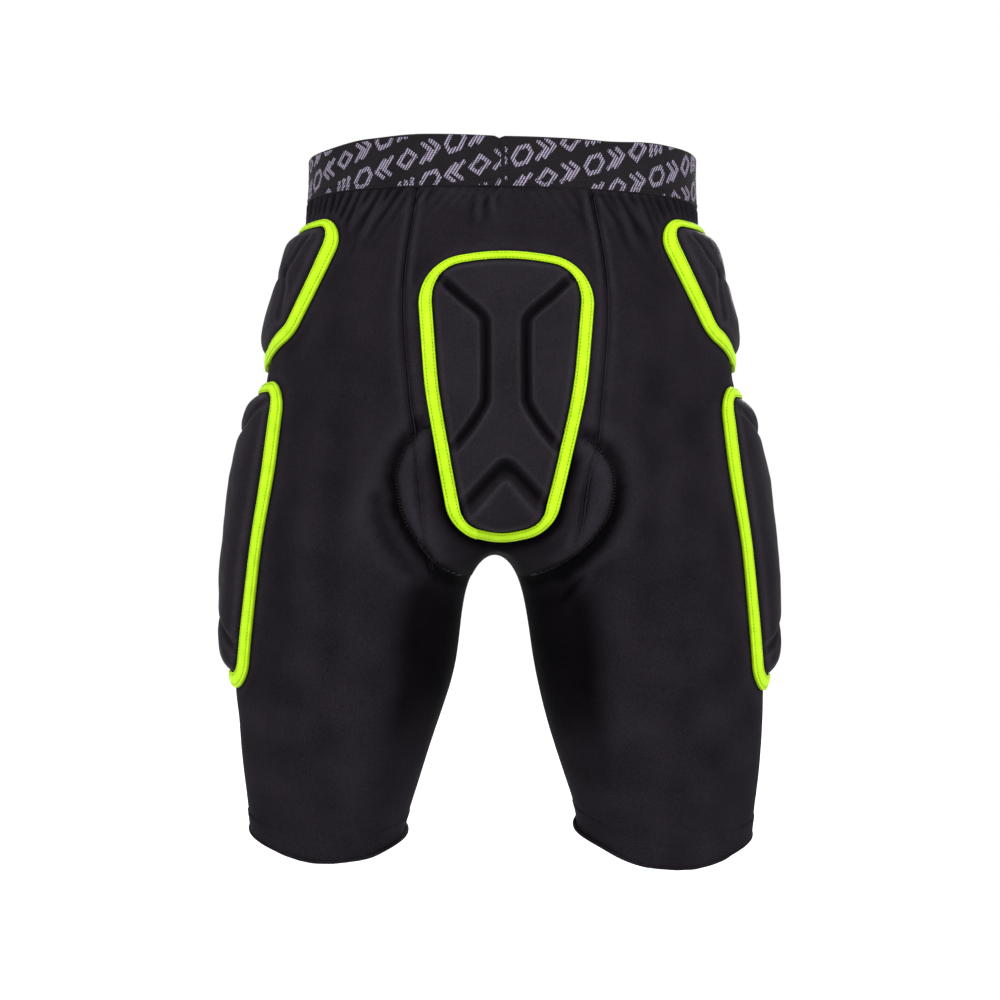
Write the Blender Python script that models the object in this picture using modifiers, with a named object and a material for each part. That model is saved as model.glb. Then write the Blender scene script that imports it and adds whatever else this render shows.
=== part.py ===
"""Padded impact shorts: a stretch garment with five foam pads bound in tape.

Frame: +Z up, +Y the way the wearer faces, +X the wearer's right. The origin
is the centre of the waist opening, at half the height of the waistband.
All dimensions are metres.
"""
import math

import bmesh
import bpy
import numpy as np
from mathutils import Vector
from mathutils.bvhtree import BVHTree
from mathutils.interpolate import poly_3d_calc

# ---------------------------------------------------------------- dimensions
WAISTBAND_HEIGHT = 0.033
WAISTBAND_TILT = 0.012
SEAM_GAP = 0.0004

FABRIC_THICKNESS = 0.0012
WAISTBAND_PROUD = 0.0008
WAISTBAND_THICKNESS = 0.0022
HEM_PROUD = 0.0005
HEM_THICKNESS = 0.0022
CHAMOIS_TOP = 0.0016
CHAMOIS_BOTTOM = 0.0066

# trunk sections: height, half width, rear depth, front depth, rear seam x, front seam x
TRUNK = (
    (WAISTBAND_HEIGHT / 2, 0.1358, 0.0990, 0.0950, 0.0560, 0.0550),
    (-WAISTBAND_HEIGHT / 2, 0.1368, 0.1000, 0.0960, 0.0570, 0.0550),
    (-0.062, 0.1450, 0.1080, 0.0980, 0.0645, 0.0570),
    (-0.108, 0.1570, 0.1160, 0.0985, 0.0660, 0.0580),
    (-0.154, 0.1650, 0.1200, 0.0970, 0.0620, 0.0560),
    (-0.200, 0.1705, 0.1160, 0.0930, 0.0560, 0.0520),
)
TRUNK_SQUARENESS = 2.25

# crotch line in the middle plane: forward position, height
CROTCH = ((-0.092, -0.2415), (-0.054, -0.2550), (0.000, -0.2585), (0.044, -0.2530), (0.075, -0.2320))

# leg sections: outer height, inner height, outer x, inner x, rear depth, front depth
LEG = (
    (-0.292, -0.283, 0.1800, 0.0196, 0.0890, 0.0800),
    (-0.362, -0.352, 0.1838, 0.0330, 0.0755, 0.0725),
    (-0.441, -0.433, 0.1775, 0.0572, 0.0640, 0.0630),
    (-0.4546, -0.4464, 0.1752, 0.0586, 0.0632, 0.0622),
)
LEG_ANGLES = (-134, -106, -52, 0, 52, 106, 134, 158, 180, -158)
HEM_REAR_DROP = 0.0085
RIGHT_LEG_LONGER = 0.0045
STANCE_SHIFT = 0.0042
STANCE_SHIFT_AT_HEM = 0.0068

TAIL_RIM = 0.0095
SIDE_RIM = 0.0120
FOAM_SET_IN = 0.0022
BODY_TO_TAPE = 0.0006
TAPE_THICKNESS = 0.0005
TAPE_SHORT_OF_RIM = 0.0011
SHEET_THICKNESS = 0.0005
PAD_GAP = 0.0004

SUBDIVISIONS = 2


# ------------------------------------------------------------------- helpers
def clear_scene():
    for item in list(bpy.data.objects):
        bpy.data.objects.remove(item, do_unlink=True)


def make_material(name, colour, roughness, sheen=0.0):
    material = bpy.data.materials.new(name)
    material.use_nodes = True
    shader = material.node_tree.nodes["Principled BSDF"]
    shader.inputs["Base Color"].default_value = (*colour, 1.0)
    shader.inputs["Roughness"].default_value = roughness
    shader.inputs["Sheen Weight"].default_value = sheen
    material.diffuse_color = (*colour, 1.0)
    return material


def add_body(name, points, faces, material):
    """One closed body from its points and faces, with the faces turned outwards."""
    mesh = bpy.data.meshes.new(name)
    mesh.from_pydata([tuple(p) for p in points], [], faces)
    mesh.validate()
    shape = bmesh.new()
    shape.from_mesh(mesh)
    bmesh.ops.recalc_face_normals(shape, faces=shape.faces)
    if shape.calc_volume(signed=True) < 0:
        bmesh.ops.reverse_faces(shape, faces=shape.faces)
    shape.to_mesh(mesh)
    shape.free()
    item = bpy.data.objects.new(name, mesh)
    item.data.materials.append(material)
    PARTS.objects.link(item)
    return item


# ---------------------------------------------------------------- body shape
def section_point(angle, half_width, rear, front, squareness):
    c = math.cos(math.radians(angle))
    s = math.sin(math.radians(angle))
    depth = rear if s < 0 else front
    x = half_width * math.copysign(abs(c) ** (2 / squareness), c)
    y = depth * math.copysign(abs(s) ** (2 / squareness), s)
    return x, y


def seam_point(x, half_width, depth, squareness):
    """The point of a section at a given sideways distance."""
    rest = max(1 - (x / half_width) ** squareness, 0.0)
    return x, depth * rest ** (1 / squareness)


def trunk_ring(level, tilt):
    """Twelve points of one trunk section, from the rear centre round the right side."""
    z, width, rear, front, rear_seam, front_seam = level
    half = [(0.0, -rear)]
    x, y = seam_point(rear_seam, width, rear, TRUNK_SQUARENESS)
    half.append((x, -y))
    half.append(section_point(-33, width, rear, front, TRUNK_SQUARENESS))
    half.append((width, 0.0))
    half.append(section_point(33, width, rear, front, TRUNK_SQUARENESS))
    half.append(seam_point(front_seam, width, front, TRUNK_SQUARENESS))
    half.append((0.0, front))
    right = [(x, y, z - tilt * x) for x, y in half]
    left = [(-x, y, z + tilt * x) for x, y in reversed(half[1:-1])]
    return right + left


def leg_ring(index, side):
    """Ten points of one leg section; side is +1 for the wearer's right leg."""
    outer_z, inner_z, outer_x, inner_x, rear, front = LEG[index]
    share = index / (len(LEG) - 1)
    shift = STANCE_SHIFT + (STANCE_SHIFT_AT_HEM - STANCE_SHIFT) * share
    inner = inner_x - side * shift
    centre = (outer_x + inner) / 2
    half = (outer_x - inner) / 2
    drop = HEM_REAR_DROP * min(index / (len(LEG) - 2), 1)
    ring = []
    for angle in LEG_ANGLES:
        x, y = section_point(angle, half, rear, front, 2.05)
        blend = (1 + x / half) / 2
        z = inner_z + (outer_z - inner_z) * blend
        z += drop * y / rear
        if side > 0:
            z -= RIGHT_LEG_LONGER * share
        ring.append((side * (centre + x), y, z))
    return ring


def body_cage():
    """Points the garment surface passes through, and its faces by panel."""
    points = []
    faces = []
    trunk = []
    for row, level in enumerate(TRUNK):
        trunk.append([len(points) + k for k in range(12)])
        points.extend(trunk_ring(level, WAISTBAND_TILT if row < 2 else 0))
    for row in range(len(TRUNK) - 1):
        upper, lower = trunk[row], trunk[row + 1]
        for k in range(12):
            j = (k + 1) % 12
            if row == 0:
                panel = "waistband"
            elif k in (0, 11):
                panel = "centre_back"
            elif k in (5, 6):
                panel = "centre_front"
            else:
                panel = "right_leg" if k < 6 else "left_leg"
            seat = panel == "centre_back" and row == len(TRUNK) - 2
            faces.append(((upper[k], upper[j], lower[j], lower[k]), panel, seat))
    crotch = [len(points) + k for k in range(5)]
    points.extend((-STANCE_SHIFT, y, z) for y, z in CROTCH)
    last = trunk[-1]
    for side, panel in ((1, "right_leg"), (-1, "left_leg")):
        top = [last[(side * k) % 12] for k in range(7)]
        split = []
        for column, (x, y, z) in enumerate(crease_columns(side)):
            split.append(len(points))
            points.append((x, y, z))
        loop = [crotch[0]] + split + [crotch[4], crotch[3], crotch[2], crotch[1]]
        for k in range(6):
            name = {0: "centre_back", 5: "centre_front"}.get(k, panel)
            quad = (top[k], top[k + 1], loop[k + 1], loop[k])
            faces.append((quad if side > 0 else quad[::-1], name, name != panel))
        for index in range(len(LEG)):
            ring = [len(points) + k for k in range(10)]
            points.extend(leg_ring(index, side))
            for k in range(10):
                j = (k + 1) % 10
                name = panel
                if index == 0 and k >= 6:
                    name = "gusset"
                if index == len(LEG) - 1:
                    name = panel.replace("leg", "hem")
                quad = (loop[k], loop[j], ring[j], ring[k])
                seat = index == 0 and k in (0, 5, 6, 7, 8, 9)
                faces.append((quad if side > 0 else quad[::-1], name, seat))
            loop = ring
    return np.array(points), faces


def crease_columns(side):
    """Five points where the trunk turns into one leg, rear to front."""
    z = -0.2445
    rows = (
        (0.0490, -0.1050, z),
        (0.1350, -0.0860, z - 0.001),
        (0.1755, -0.0010, z - 0.002),
        (0.1330, 0.0760, z - 0.001),
        (0.0500, 0.0900, z),
    )
    return [(side * x, y, height) for x, y, height in rows]


def fit_cage(points, faces, rounds=40):
    """Moves the cage until its smooth surface passes through the given points."""
    edges = {}
    around = [set() for _ in points]
    opposite = [[] for _ in points]
    for quad, _, _ in faces:
        for k in range(4):
            a, b = quad[k], quad[(k + 1) % 4]
            edges[frozenset((a, b))] = edges.get(frozenset((a, b)), 0) + 1
            around[a].add(b)
            around[b].add(a)
            opposite[quad[k]].append(quad[(k + 2) % 4])
    rim = [[] for _ in points]
    for edge, count in edges.items():
        if count == 1:
            a, b = tuple(edge)
            rim[a].append(b)
            rim[b].append(a)
    cage = points.copy()
    for _ in range(rounds):
        limit = np.empty_like(cage)
        for k in range(len(cage)):
            if rim[k]:
                limit[k] = (4 * cage[k] + cage[rim[k]].sum(axis=0)) / 6
                continue
            n = len(around[k])
            ring = 4 * cage[list(around[k])].sum(axis=0) + cage[opposite[k]].sum(axis=0)
            limit[k] = (n * n * cage[k] + ring) / (n * (n + 5))
        cage += 0.8 * (points - limit)
    return cage


def garment_surface():
    """The smooth garment surface: points, outward normals, faces by panel."""
    targets, faces = body_cage()
    cage = fit_cage(targets, faces)
    mesh = bpy.data.meshes.new("garment_form")
    mesh.from_pydata([tuple(p) for p in cage], [], [quad for quad, _, _ in faces])
    names = sorted({name for _, name, _ in faces})
    for polygon, (_, name, seat) in zip(mesh.polygons, faces):
        polygon.material_index = names.index(name) * 2 + int(seat)
    for name in names:
        mesh.materials.append(None)
        mesh.materials.append(None)
    form = bpy.data.objects.new("garment_form", mesh)
    bpy.context.scene.collection.objects.link(form)
    smooth = form.modifiers.new("smooth", "SUBSURF")
    smooth.levels = SUBDIVISIONS
    smooth.render_levels = SUBDIVISIONS
    bpy.context.view_layer.update()
    fine = form.evaluated_get(bpy.context.evaluated_depsgraph_get()).to_mesh()
    points = np.array([v.co[:] for v in fine.vertices])
    quads = [tuple(p.vertices) for p in fine.polygons]
    groups = [(names[p.material_index // 2], bool(p.material_index % 2)) for p in fine.polygons]
    bpy.data.objects.remove(form, do_unlink=True)
    bpy.data.meshes.remove(mesh)
    normals = np.zeros_like(points)
    for quad in quads:
        a, b, c, d = points[list(quad)]
        normals[list(quad)] += np.cross(c - a, d - b)
    normals /= np.linalg.norm(normals, axis=1)[:, None]
    middle = points[:12].mean(axis=0)
    if np.dot(points[3] - middle, normals[3]) < 0:
        normals = -normals
    return points, normals, quads, groups


def triangles(quads):
    """Each face cut along the same diagonal in every layer, so layers stay parallel."""
    cut = []
    for a, b, c, d in quads:
        cut += [(a, b, c), (a, c, d)]
    return cut


def panel_shell(name, surface, quads, outer, inner, material, inset=SEAM_GAP / 2):
    """A sheet of fabric: the panel's faces between two heights over the surface."""
    points, normals = surface
    used = sorted({v for quad in quads for v in quad})
    edges = {}
    pull = {v: [] for v in used}
    for quad in quads:
        centre = points[list(quad)].mean(axis=0)
        for k in range(4):
            a, b = quad[k], quad[(k + 1) % 4]
            edges.setdefault(frozenset((a, b)), []).append((a, b))
            pull[a].append(centre)
    border = [pair[0] for pair in edges.values() if len(pair) == 1]
    rim = {v for pair in border for v in pair}
    place = {v: i for i, v in enumerate(used)}
    base = []
    for v in used:
        p = points[v]
        if v in rim:
            way = np.mean(pull[v], axis=0) - p
            way -= normals[v] * np.dot(way, normals[v])
            p = p + way / np.linalg.norm(way) * inset
        base.append(p)
    base = np.array(base)
    out = normals[used]
    count = len(used)
    body = list(base + out * outer) + list(base + out * inner)
    faces = []
    for a, b in reversed(border):
        i, j = place[a], place[b]
        faces += triangles([(j, i, count + i, count + j)])
    for tri in reversed(triangles(quads)):
        row = [place[v] for v in tri]
        faces.append([count + v for v in reversed(row)])
        faces.append(row)
    return add_body(name, body, faces, material)


# ------------------------------------------------------------- pad outlines
def rounded_outline(corners, radii, steps=12):
    """A polygon with rounded corners; the middle of each rounding is marked."""
    path = []
    marks = []
    count = len(corners)
    for k in range(count):
        here = np.array(corners[k])
        before = np.array(corners[k - 1]) - here
        after = np.array(corners[(k + 1) % count]) - here
        before /= np.linalg.norm(before)
        after /= np.linalg.norm(after)
        half = math.acos(float(np.clip(np.dot(before, after), -1, 1))) / 2
        reach = radii[k] / math.tan(half)
        middle = before + after
        centre = here + middle / np.linalg.norm(middle) * radii[k] / math.sin(half)
        start = here + before * reach - centre
        end = here + after * reach - centre
        angle = math.atan2(start[1], start[0])
        turn = math.atan2(end[1], end[0]) - angle
        turn = (turn + math.pi) % (2 * math.pi) - math.pi
        for step in range(steps + 1):
            a = angle + turn * step / steps
            if step == steps // 2:
                marks.append(len(path))
            path.append(centre + radii[k] * np.array((math.cos(a), math.sin(a))))
    return np.array(path), marks


def side_curve(path, start, end):
    """A function of 0..1 along the outline between two marks."""
    count = len(path)
    stop = end if end > start else end + count
    run = path[[k % count for k in range(start, stop + 1)]]
    length = np.concatenate([[0], np.cumsum(np.linalg.norm(np.diff(run, axis=0), axis=1))])
    length /= length[-1]

    def at(t):
        return np.array((np.interp(t, length, run[:, 0]), np.interp(t, length, run[:, 1])))

    return at


def patch_of(corners, radii, chosen):
    """Maps the unit square onto a rounded outline.

    The chosen corners come in the order low left, low right, top right, top left.
    """
    path, marks = rounded_outline(corners, radii)
    a, b, c, d = (marks[k] for k in chosen)
    bottom = side_curve(path, a, b)
    right = side_curve(path, b, c)
    top = side_curve(path, c, d)
    left = side_curve(path, d, a)

    def at(u, v):
        low, high = bottom(u), top(1 - u)
        west, east = left(1 - v), right(v)
        flat = (1 - v) * low + v * high + (1 - u) * west + u * east
        flat -= (1 - u) * (1 - v) * bottom(0) + u * (1 - v) * bottom(1)
        flat -= (1 - u) * v * top(1) + u * v * top(0)
        return flat

    return at


# ----------------------------------------------------------------- pad stack
class Form:
    """The garment surface as a thing to lay pads on."""

    def __init__(self, points, normals, quads):
        self.points = [Vector(p) for p in points]
        self.normals = normals
        self.faces = triangles(quads)
        self.tree = BVHTree.FromPolygons(self.points, self.faces)

    def touch(self, start, way):
        """Where a straight line meets the garment, and the smooth normal there."""
        hit, _, index, _ = self.tree.ray_cast(Vector(start), Vector(way))
        face = self.faces[index]
        weights = poly_3d_calc([self.points[v] for v in face], hit)
        out = np.array(weights) @ self.normals[list(face)]
        return np.array(hit), out / np.linalg.norm(out)


class PadGrid:
    """A grid of points laid over the garment inside one pad's outline."""

    def __init__(self, cells, form, cast, rim):
        rows = len(cells)
        columns = len(cells[0])
        self.rim = rim
        self.rows = rows - 1
        self.columns = columns - 1
        self.base = np.empty((rows, columns, 3))
        self.normal = np.empty((rows, columns, 3))
        self.way = np.empty((rows, columns, 3))
        for i, row in enumerate(cells):
            for j, spot in enumerate(row):
                start, way = cast(*spot)
                self.base[i, j], self.normal[i, j] = form.touch(start, way)
                self.way[i, j] = way
        self.clear_of(form)

    def clear_of(self, form):
        """Lifts the grid until no flat cell dips into the garment."""
        lift = np.zeros(self.base.shape[:2])
        steps = (0, 0.25, 0.5, 0.75, 1)
        shares = [(s, t) for s in steps for t in steps]
        for i in range(self.rows):
            for j in range(self.columns):
                corner = self.base[i:i + 2, j:j + 2]
                out = self.normal[i:i + 2, j:j + 2].mean(axis=(0, 1))
                way = self.way[i, j]
                for s, t in shares:
                    low = corner[0, 0] * (1 - t) + corner[0, 1] * t
                    high = corner[1, 0] * (1 - t) + corner[1, 1] * t
                    spot = low * (1 - s) + high * s
                    hit, _ = form.touch(spot - way * 0.2, way)
                    rise = float(np.dot(hit - spot, out))
                    area = lift[i:i + 2, j:j + 2]
                    np.maximum(area, rise, out=area)
        self.base += self.normal * lift[:, :, None]

    def rises(self, i, j):
        """Which way a cell is cut: towards the nearest corner of the pad."""
        return (i < self.rows / 2) == (j < self.columns / 2)

    def crosses_inward(self, here, there):
        """Whether a border cell's cut runs from this node to the next one's inner node."""
        i = min(here[0], there[0], self.rows - 1)
        j = min(here[1], there[1], self.columns - 1)
        return (here[0] - i == here[1] - j) == self.rises(i, j)

    def block(self, name, rows, columns, lower, upper, material):
        """A closed body over part of the grid, between two height tables."""
        r0, r1 = rows
        c0, c1 = columns
        base = self.base[r0:r1 + 1, c0:c1 + 1]
        out = self.normal[r0:r1 + 1, c0:c1 + 1]
        high = upper[r0:r1 + 1, c0:c1 + 1, None]
        low = lower[r0:r1 + 1, c0:c1 + 1, None]
        n, m = base.shape[:2]
        points = list((base + out * high).reshape(-1, 3)) + list((base + out * low).reshape(-1, 3))
        count = n * m
        faces = []
        for i in range(n - 1):
            for j in range(m - 1):
                a = i * m + j
                b, c, d = a + 1, a + m + 1, a + m
                if self.rises(i + r0, j + c0):
                    split = ((a, b, c), (a, c, d))
                else:
                    split = ((a, b, d), (b, c, d))
                for tri in split:
                    faces.append(tri)
                    faces.append(tuple(count + v for v in reversed(tri)))
        loop = grid_loop(n, m)
        for k in range(len(loop)):
            a, b = loop[k], loop[(k + 1) % len(loop)]
            i, j = a[0] * m + a[1], b[0] * m + b[1]
            faces += triangles([(j, i, count + i, count + j)])
        return add_body(name, points, faces, material)

    def binding(self, name, material):
        """Folded tape round the edge: over the cover, round the rim, under the lining."""
        rows, columns = self.base.shape[:2]
        sheet = LINING_BOTTOM
        top = COVER_TOP + PAD_GAP
        low = BODY_TO_TAPE
        wall = PAD_GAP + TAPE_THICKNESS
        width = self.rim - TAPE_SHORT_OF_RIM
        section = (
            (-wall, low), (width, low),
            (width, low + TAPE_THICKNESS), (-PAD_GAP, sheet - PAD_GAP),
            (-PAD_GAP, top), (width, top),
            (width, top + TAPE_THICKNESS), (-wall, top + TAPE_THICKNESS),
        )
        loop = grid_loop(rows, columns)
        points = []
        for i, j in loop:
            inner = (min(max(i, 1), rows - 2), min(max(j, 1), columns - 2))
            edge, out = self.base[i, j], self.normal[i, j]
            inward = self.base[inner] - edge
            reach = np.linalg.norm(inward)
            turn = self.normal[inner] - out
            for across, height in section:
                share = across / (self.rim if across > 0 else reach)
                way = out + turn * max(share, 0.0)
                points.append(edge + inward * share + way * height)
        n = len(section)
        faces = []
        for k in range(len(loop)):
            j = (k + 1) % len(loop)
            follows = self.crosses_inward(loop[k], loop[j])
            for s in range(n):
                t = (s + 1) % n
                a, b, c, d = k * n + s, j * n + s, j * n + t, k * n + t
                if follows == (s in (0, 4)):
                    faces += [(a, b, c), (a, c, d)]
                else:
                    faces += [(a, b, d), (b, c, d)]
        return add_body(name, points, faces, material)


def grid_loop(n, m):
    """The border nodes of a grid, in order."""
    loop = [(0, j) for j in range(m - 1)]
    loop += [(i, m - 1) for i in range(n - 1)]
    loop += [(n - 1, j) for j in range(m - 1, 0, -1)]
    loop += [(i, 0) for i in range(n - 1, 0, -1)]
    return loop


LINING_BOTTOM = BODY_TO_TAPE + TAPE_THICKNESS + PAD_GAP
LINING_TOP = LINING_BOTTOM + SHEET_THICKNESS
FOAM_BOTTOM = LINING_TOP + PAD_GAP
COVER_TOP = FOAM_BOTTOM + SHEET_THICKNESS


def build_pad(name, grid, blocks, edge_share):
    """Lining, foam blocks, cover and binding tape of one pad.

    Each block is (suffix, rows, columns, thickness).
    """
    shape = grid.base.shape[:2]
    foam = np.zeros(shape)
    for _, rows, columns, thickness in blocks:
        r0, r1 = rows
        c0, c1 = columns
        part = np.full((r1 - r0 + 1, c1 - c0 + 1), thickness * edge_share)
        part[1:-1, 1:-1] = thickness
        foam[r0:r1 + 1, c0:c1 + 1] = part
    flat = np.zeros(shape)
    whole = ((0, shape[0] - 1), (0, shape[1] - 1))
    lining_bottom = flat + LINING_BOTTOM
    lining_top = flat + LINING_TOP
    grid.block(name + "_lining", *whole, lining_bottom, lining_top, LINING)
    for suffix, rows, columns, _ in blocks:
        grid.block(name + "_foam" + suffix, rows, columns, flat + FOAM_BOTTOM, FOAM_BOTTOM + foam, FOAM)
    under = FOAM_BOTTOM + foam + np.where(foam > 0, PAD_GAP, 0)
    grid.block(name + "_cover", *whole, under, under + SHEET_THICKNESS, PAD_COVER)
    grid.binding(name + "_binding", TAPE)


def even(start, stop, cells):
    return list(np.linspace(start, stop, cells + 1))


# --------------------------------------------------------------- tailbone pad
TAIL_TOP = -0.0605
TAIL_BOTTOM = -0.2445
TAIL_HALF_TOP = 0.0608
TAIL_HALF_BOTTOM = 0.0335
TAIL_ROUND_TOP = 0.036
TAIL_ROUND_BOTTOM = 0.029
TAIL_GROOVE = 0.0065
TAIL_FOAM = 0.0060


def tail_pad(form):
    corners = (
        (-TAIL_HALF_BOTTOM, TAIL_BOTTOM), (TAIL_HALF_BOTTOM, TAIL_BOTTOM),
        (TAIL_HALF_TOP, TAIL_TOP), (-TAIL_HALF_TOP, TAIL_TOP),
    )
    radii = (TAIL_ROUND_BOTTOM, TAIL_ROUND_BOTTOM, TAIL_ROUND_TOP, TAIL_ROUND_TOP)
    patch = patch_of(corners, radii, (0, 1, 2, 3))
    height = TAIL_TOP - TAIL_BOTTOM
    rim = TAIL_RIM / height
    chevron = (0.235, 0.235 + TAIL_GROOVE / height * 1.3)
    step = FOAM_SET_IN / height
    rows = [0.0, rim] + even(rim + step, chevron[0], 2) + [chevron[1]]
    rows += [0.345, 0.42, 0.50, 0.63, 0.76, 0.82, 0.87, 1 - rim - step, 1 - rim, 1.0]
    cells = []
    for v in rows:
        left, right = patch(0, v)[0], patch(1, v)[0]
        half = (right - left) / 2
        edge = TAIL_RIM / (2 * half)
        foot = edge + FOAM_SET_IN / (2 * half)
        groove = groove_share(v, half, foot)
        width = TAIL_GROOVE / (2 * half)
        marks = [0.0, edge, foot]
        outer = max(groove - width / 2, foot + 0.03)
        inner = max(groove + width / 2, outer + width * 0.8)
        marks += [(foot + outer) / 2, outer, inner]
        marks += [inner + (0.5 - inner) / 2, 0.5]
        marks += [1 - u for u in reversed(marks[:-1])]
        bend = chevron_bend(v, rows)
        cells.append([patch(u, v + bend * abs(2 * u - 1)) for u in marks])
    grid = PadGrid(cells, form, lambda x, z: ((x, -0.4, z), (0, 1, 0)), TAIL_RIM)
    top = len(rows) - 3
    split = rows.index(chevron[0])
    wing_low = rows.index(0.42)
    wing_high = rows.index(0.87)
    blocks = (
        ("_base", (2, split), (2, 12), TAIL_FOAM),
        ("_spine", (split + 1, top), (5, 9), TAIL_FOAM),
        ("_left", (wing_low, wing_high), (2, 4), TAIL_FOAM),
        ("_right", (wing_low, wing_high), (10, 12), TAIL_FOAM),
    )
    build_pad("tail_pad", grid, blocks, 0.72)


def groove_share(v, half, edge):
    """Where the groove beside the spine crosses, as a share of the pad's width."""
    waist = 0.5 - 0.0125 / (2 * half)
    if v > 0.76:
        return np.interp(v, (0.76, 0.91), (waist, edge + 0.01))
    if v < 0.50:
        return np.interp(v, (0.345, 0.50), (edge + 0.01, waist))
    return waist


def chevron_bend(v, rows):
    """How far a row dips at the sides to follow the inverted-V groove."""
    return -np.interp(v, (0.05, 0.235, 0.30, 0.45), (0.0, 0.12, 0.12, 0.0))


# ------------------------------------------------------------- side pads
HIP_TOP = -0.0328
HIP_LOW = -0.1325
HIP_HALF = 0.0868
HIP_SHOULDER = -0.1105
HIP_HALF_SHOULDER = 0.0530
HIP_GROOVE_AT = -0.0715
HIP_GROOVE_RISE = 0.0100
HIP_FOAM = (0.0075, 0.0085)
HIP_AXIS = 0.0650
HIP_REACH = 0.0750

THIGH_TOP = -0.1410
THIGH_BOTTOM = -0.3475
THIGH_HALF_TOP = 0.0790
THIGH_HALF_BOTTOM = 0.0450
THIGH_GROOVES = (-0.1790, -0.3010)
THIGH_GROOVE_RISE = 0.0130
THIGH_FOAM = (0.0100, 0.0150, 0.0090)
THIGH_AXIS = 0.0975
THIGH_REACH = 0.0830
SIDE_GROOVE = 0.0060


def round_the_side(side, axis, reach):
    """Lays a flat outline round an upright axis: distance round it, and height."""

    def cast(around, z):
        angle = around / reach
        way = (side * math.cos(angle), math.sin(angle), 0.0)
        start = (side * axis + way[0] * 0.3, way[1] * 0.3, z)
        return start, (-way[0], -way[1], 0.0)

    return cast


def side_rows(low, high, grooves, cells):
    """Heights as shares of the pad, with a pair of rows for each groove."""
    height = high - low
    rim = SIDE_RIM / height
    width = SIDE_GROOVE / height
    step = FOAM_SET_IN / height
    cuts = [rim + step]
    for at in grooves:
        share = (at - low) / height
        cuts += [share - width / 2, share + width / 2]
    cuts.append(1 - rim - step)
    rows = [0.0, rim]
    bands = []
    for k, count in enumerate(cells):
        rows += even(cuts[2 * k], cuts[2 * k + 1], count)
        bands.append((len(rows) - count - 1, len(rows) - 1))
    return rows + [1 - rim, 1.0], bands


def side_pad(name, side, patch, rows, bands, bend, half, suffixes, thicknesses, cast, form):
    columns = 6
    edge = SIDE_RIM / (2 * half)
    foot = edge + FOAM_SET_IN / (2 * half)
    marks = [0.0, edge] + even(foot, 1 - foot, columns) + [1 - edge, 1.0]
    cells = [[patch(u, v + bend(v) * abs(2 * u - 1)) for u in marks] for v in rows]
    grid = PadGrid(cells, form, cast, SIDE_RIM)
    blocks = [
        (suffix, band, (2, columns + 2), thickness)
        for suffix, band, thickness in zip(suffixes, bands, thicknesses)
    ]
    build_pad(name, grid, blocks, 0.62)


def hip_pad(name, side, form):
    corners = (
        (-HIP_HALF_SHOULDER, HIP_SHOULDER), (0.0, HIP_LOW), (HIP_HALF_SHOULDER, HIP_SHOULDER),
        (HIP_HALF, HIP_TOP), (-HIP_HALF, HIP_TOP),
    )
    patch = patch_of(corners, (0.022, 0.022, 0.022, 0.016, 0.016), (0, 2, 3, 4))
    low = HIP_LOW + 0.010
    rows, bands = side_rows(low, HIP_TOP, (HIP_GROOVE_AT,), (3, 3))
    rise = HIP_GROOVE_RISE / (HIP_TOP - low)
    groove = (HIP_GROOVE_AT - low) / (HIP_TOP - low)

    def bend(v):
        return rise * np.interp(v, (rows[2], groove, rows[-3]), (0, 1, 0))

    cast = round_the_side(side, HIP_AXIS, HIP_REACH)
    side_pad(name, side, patch, rows, bands, bend, HIP_HALF, ("_lower", "_upper"), HIP_FOAM, cast, form)


def thigh_pad(name, side, form):
    corners = (
        (-THIGH_HALF_BOTTOM, THIGH_BOTTOM), (THIGH_HALF_BOTTOM, THIGH_BOTTOM),
        (THIGH_HALF_TOP, THIGH_TOP), (-THIGH_HALF_TOP, THIGH_TOP),
    )
    patch = patch_of(corners, (0.022, 0.022, 0.016, 0.016), (0, 1, 2, 3))
    rows, bands = side_rows(THIGH_BOTTOM, THIGH_TOP, reversed(THIGH_GROOVES), (2, 6, 2))
    height = THIGH_TOP - THIGH_BOTTOM
    rise = THIGH_GROOVE_RISE / height
    upper, lower = ((at - THIGH_BOTTOM) / height for at in THIGH_GROOVES)

    def bend(v):
        return rise * np.interp(v, (rows[2], lower, upper, rows[-3]), (0, -1, 1, 0))

    suffixes = ("_bottom", "_middle", "_top")
    cast = round_the_side(side, THIGH_AXIS, THIGH_REACH)
    side_pad(name, side, patch, rows, bands, bend, THIGH_HALF_TOP, suffixes, THIGH_FOAM, cast, form)


# --------------------------------------------------------------------- build
clear_scene()
PARTS = bpy.data.collections.new("parts")
bpy.context.scene.collection.children.link(PARTS)

KNIT = make_material("stretch_knit", (0.020, 0.018, 0.023), 0.75, 0.4)
ELASTIC = make_material("waistband_elastic", (0.024, 0.022, 0.027), 0.8, 0.3)
HEM = make_material("hem_knit", (0.020, 0.018, 0.023), 0.75, 0.4)
CHAMOIS = make_material("chamois", (0.035, 0.035, 0.04), 0.9, 0.5)
PAD_COVER = make_material("pad_cover_knit", (0.022, 0.020, 0.025), 0.7, 0.4)
LINING = make_material("pad_lining", (0.03, 0.03, 0.034), 0.85, 0.3)
FOAM = make_material("pad_foam", (0.06, 0.06, 0.065), 0.9)
TAPE = make_material("binding_tape", (0.52, 0.95, 0.02), 0.6, 0.2)

points, normals, quads, groups = garment_surface()
surface = (points, normals)
by_panel = {}
seat = []
for quad, (panel, in_seat) in zip(quads, groups):
    by_panel.setdefault(panel, []).append(quad)
    if in_seat:
        seat.append(quad)

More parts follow.
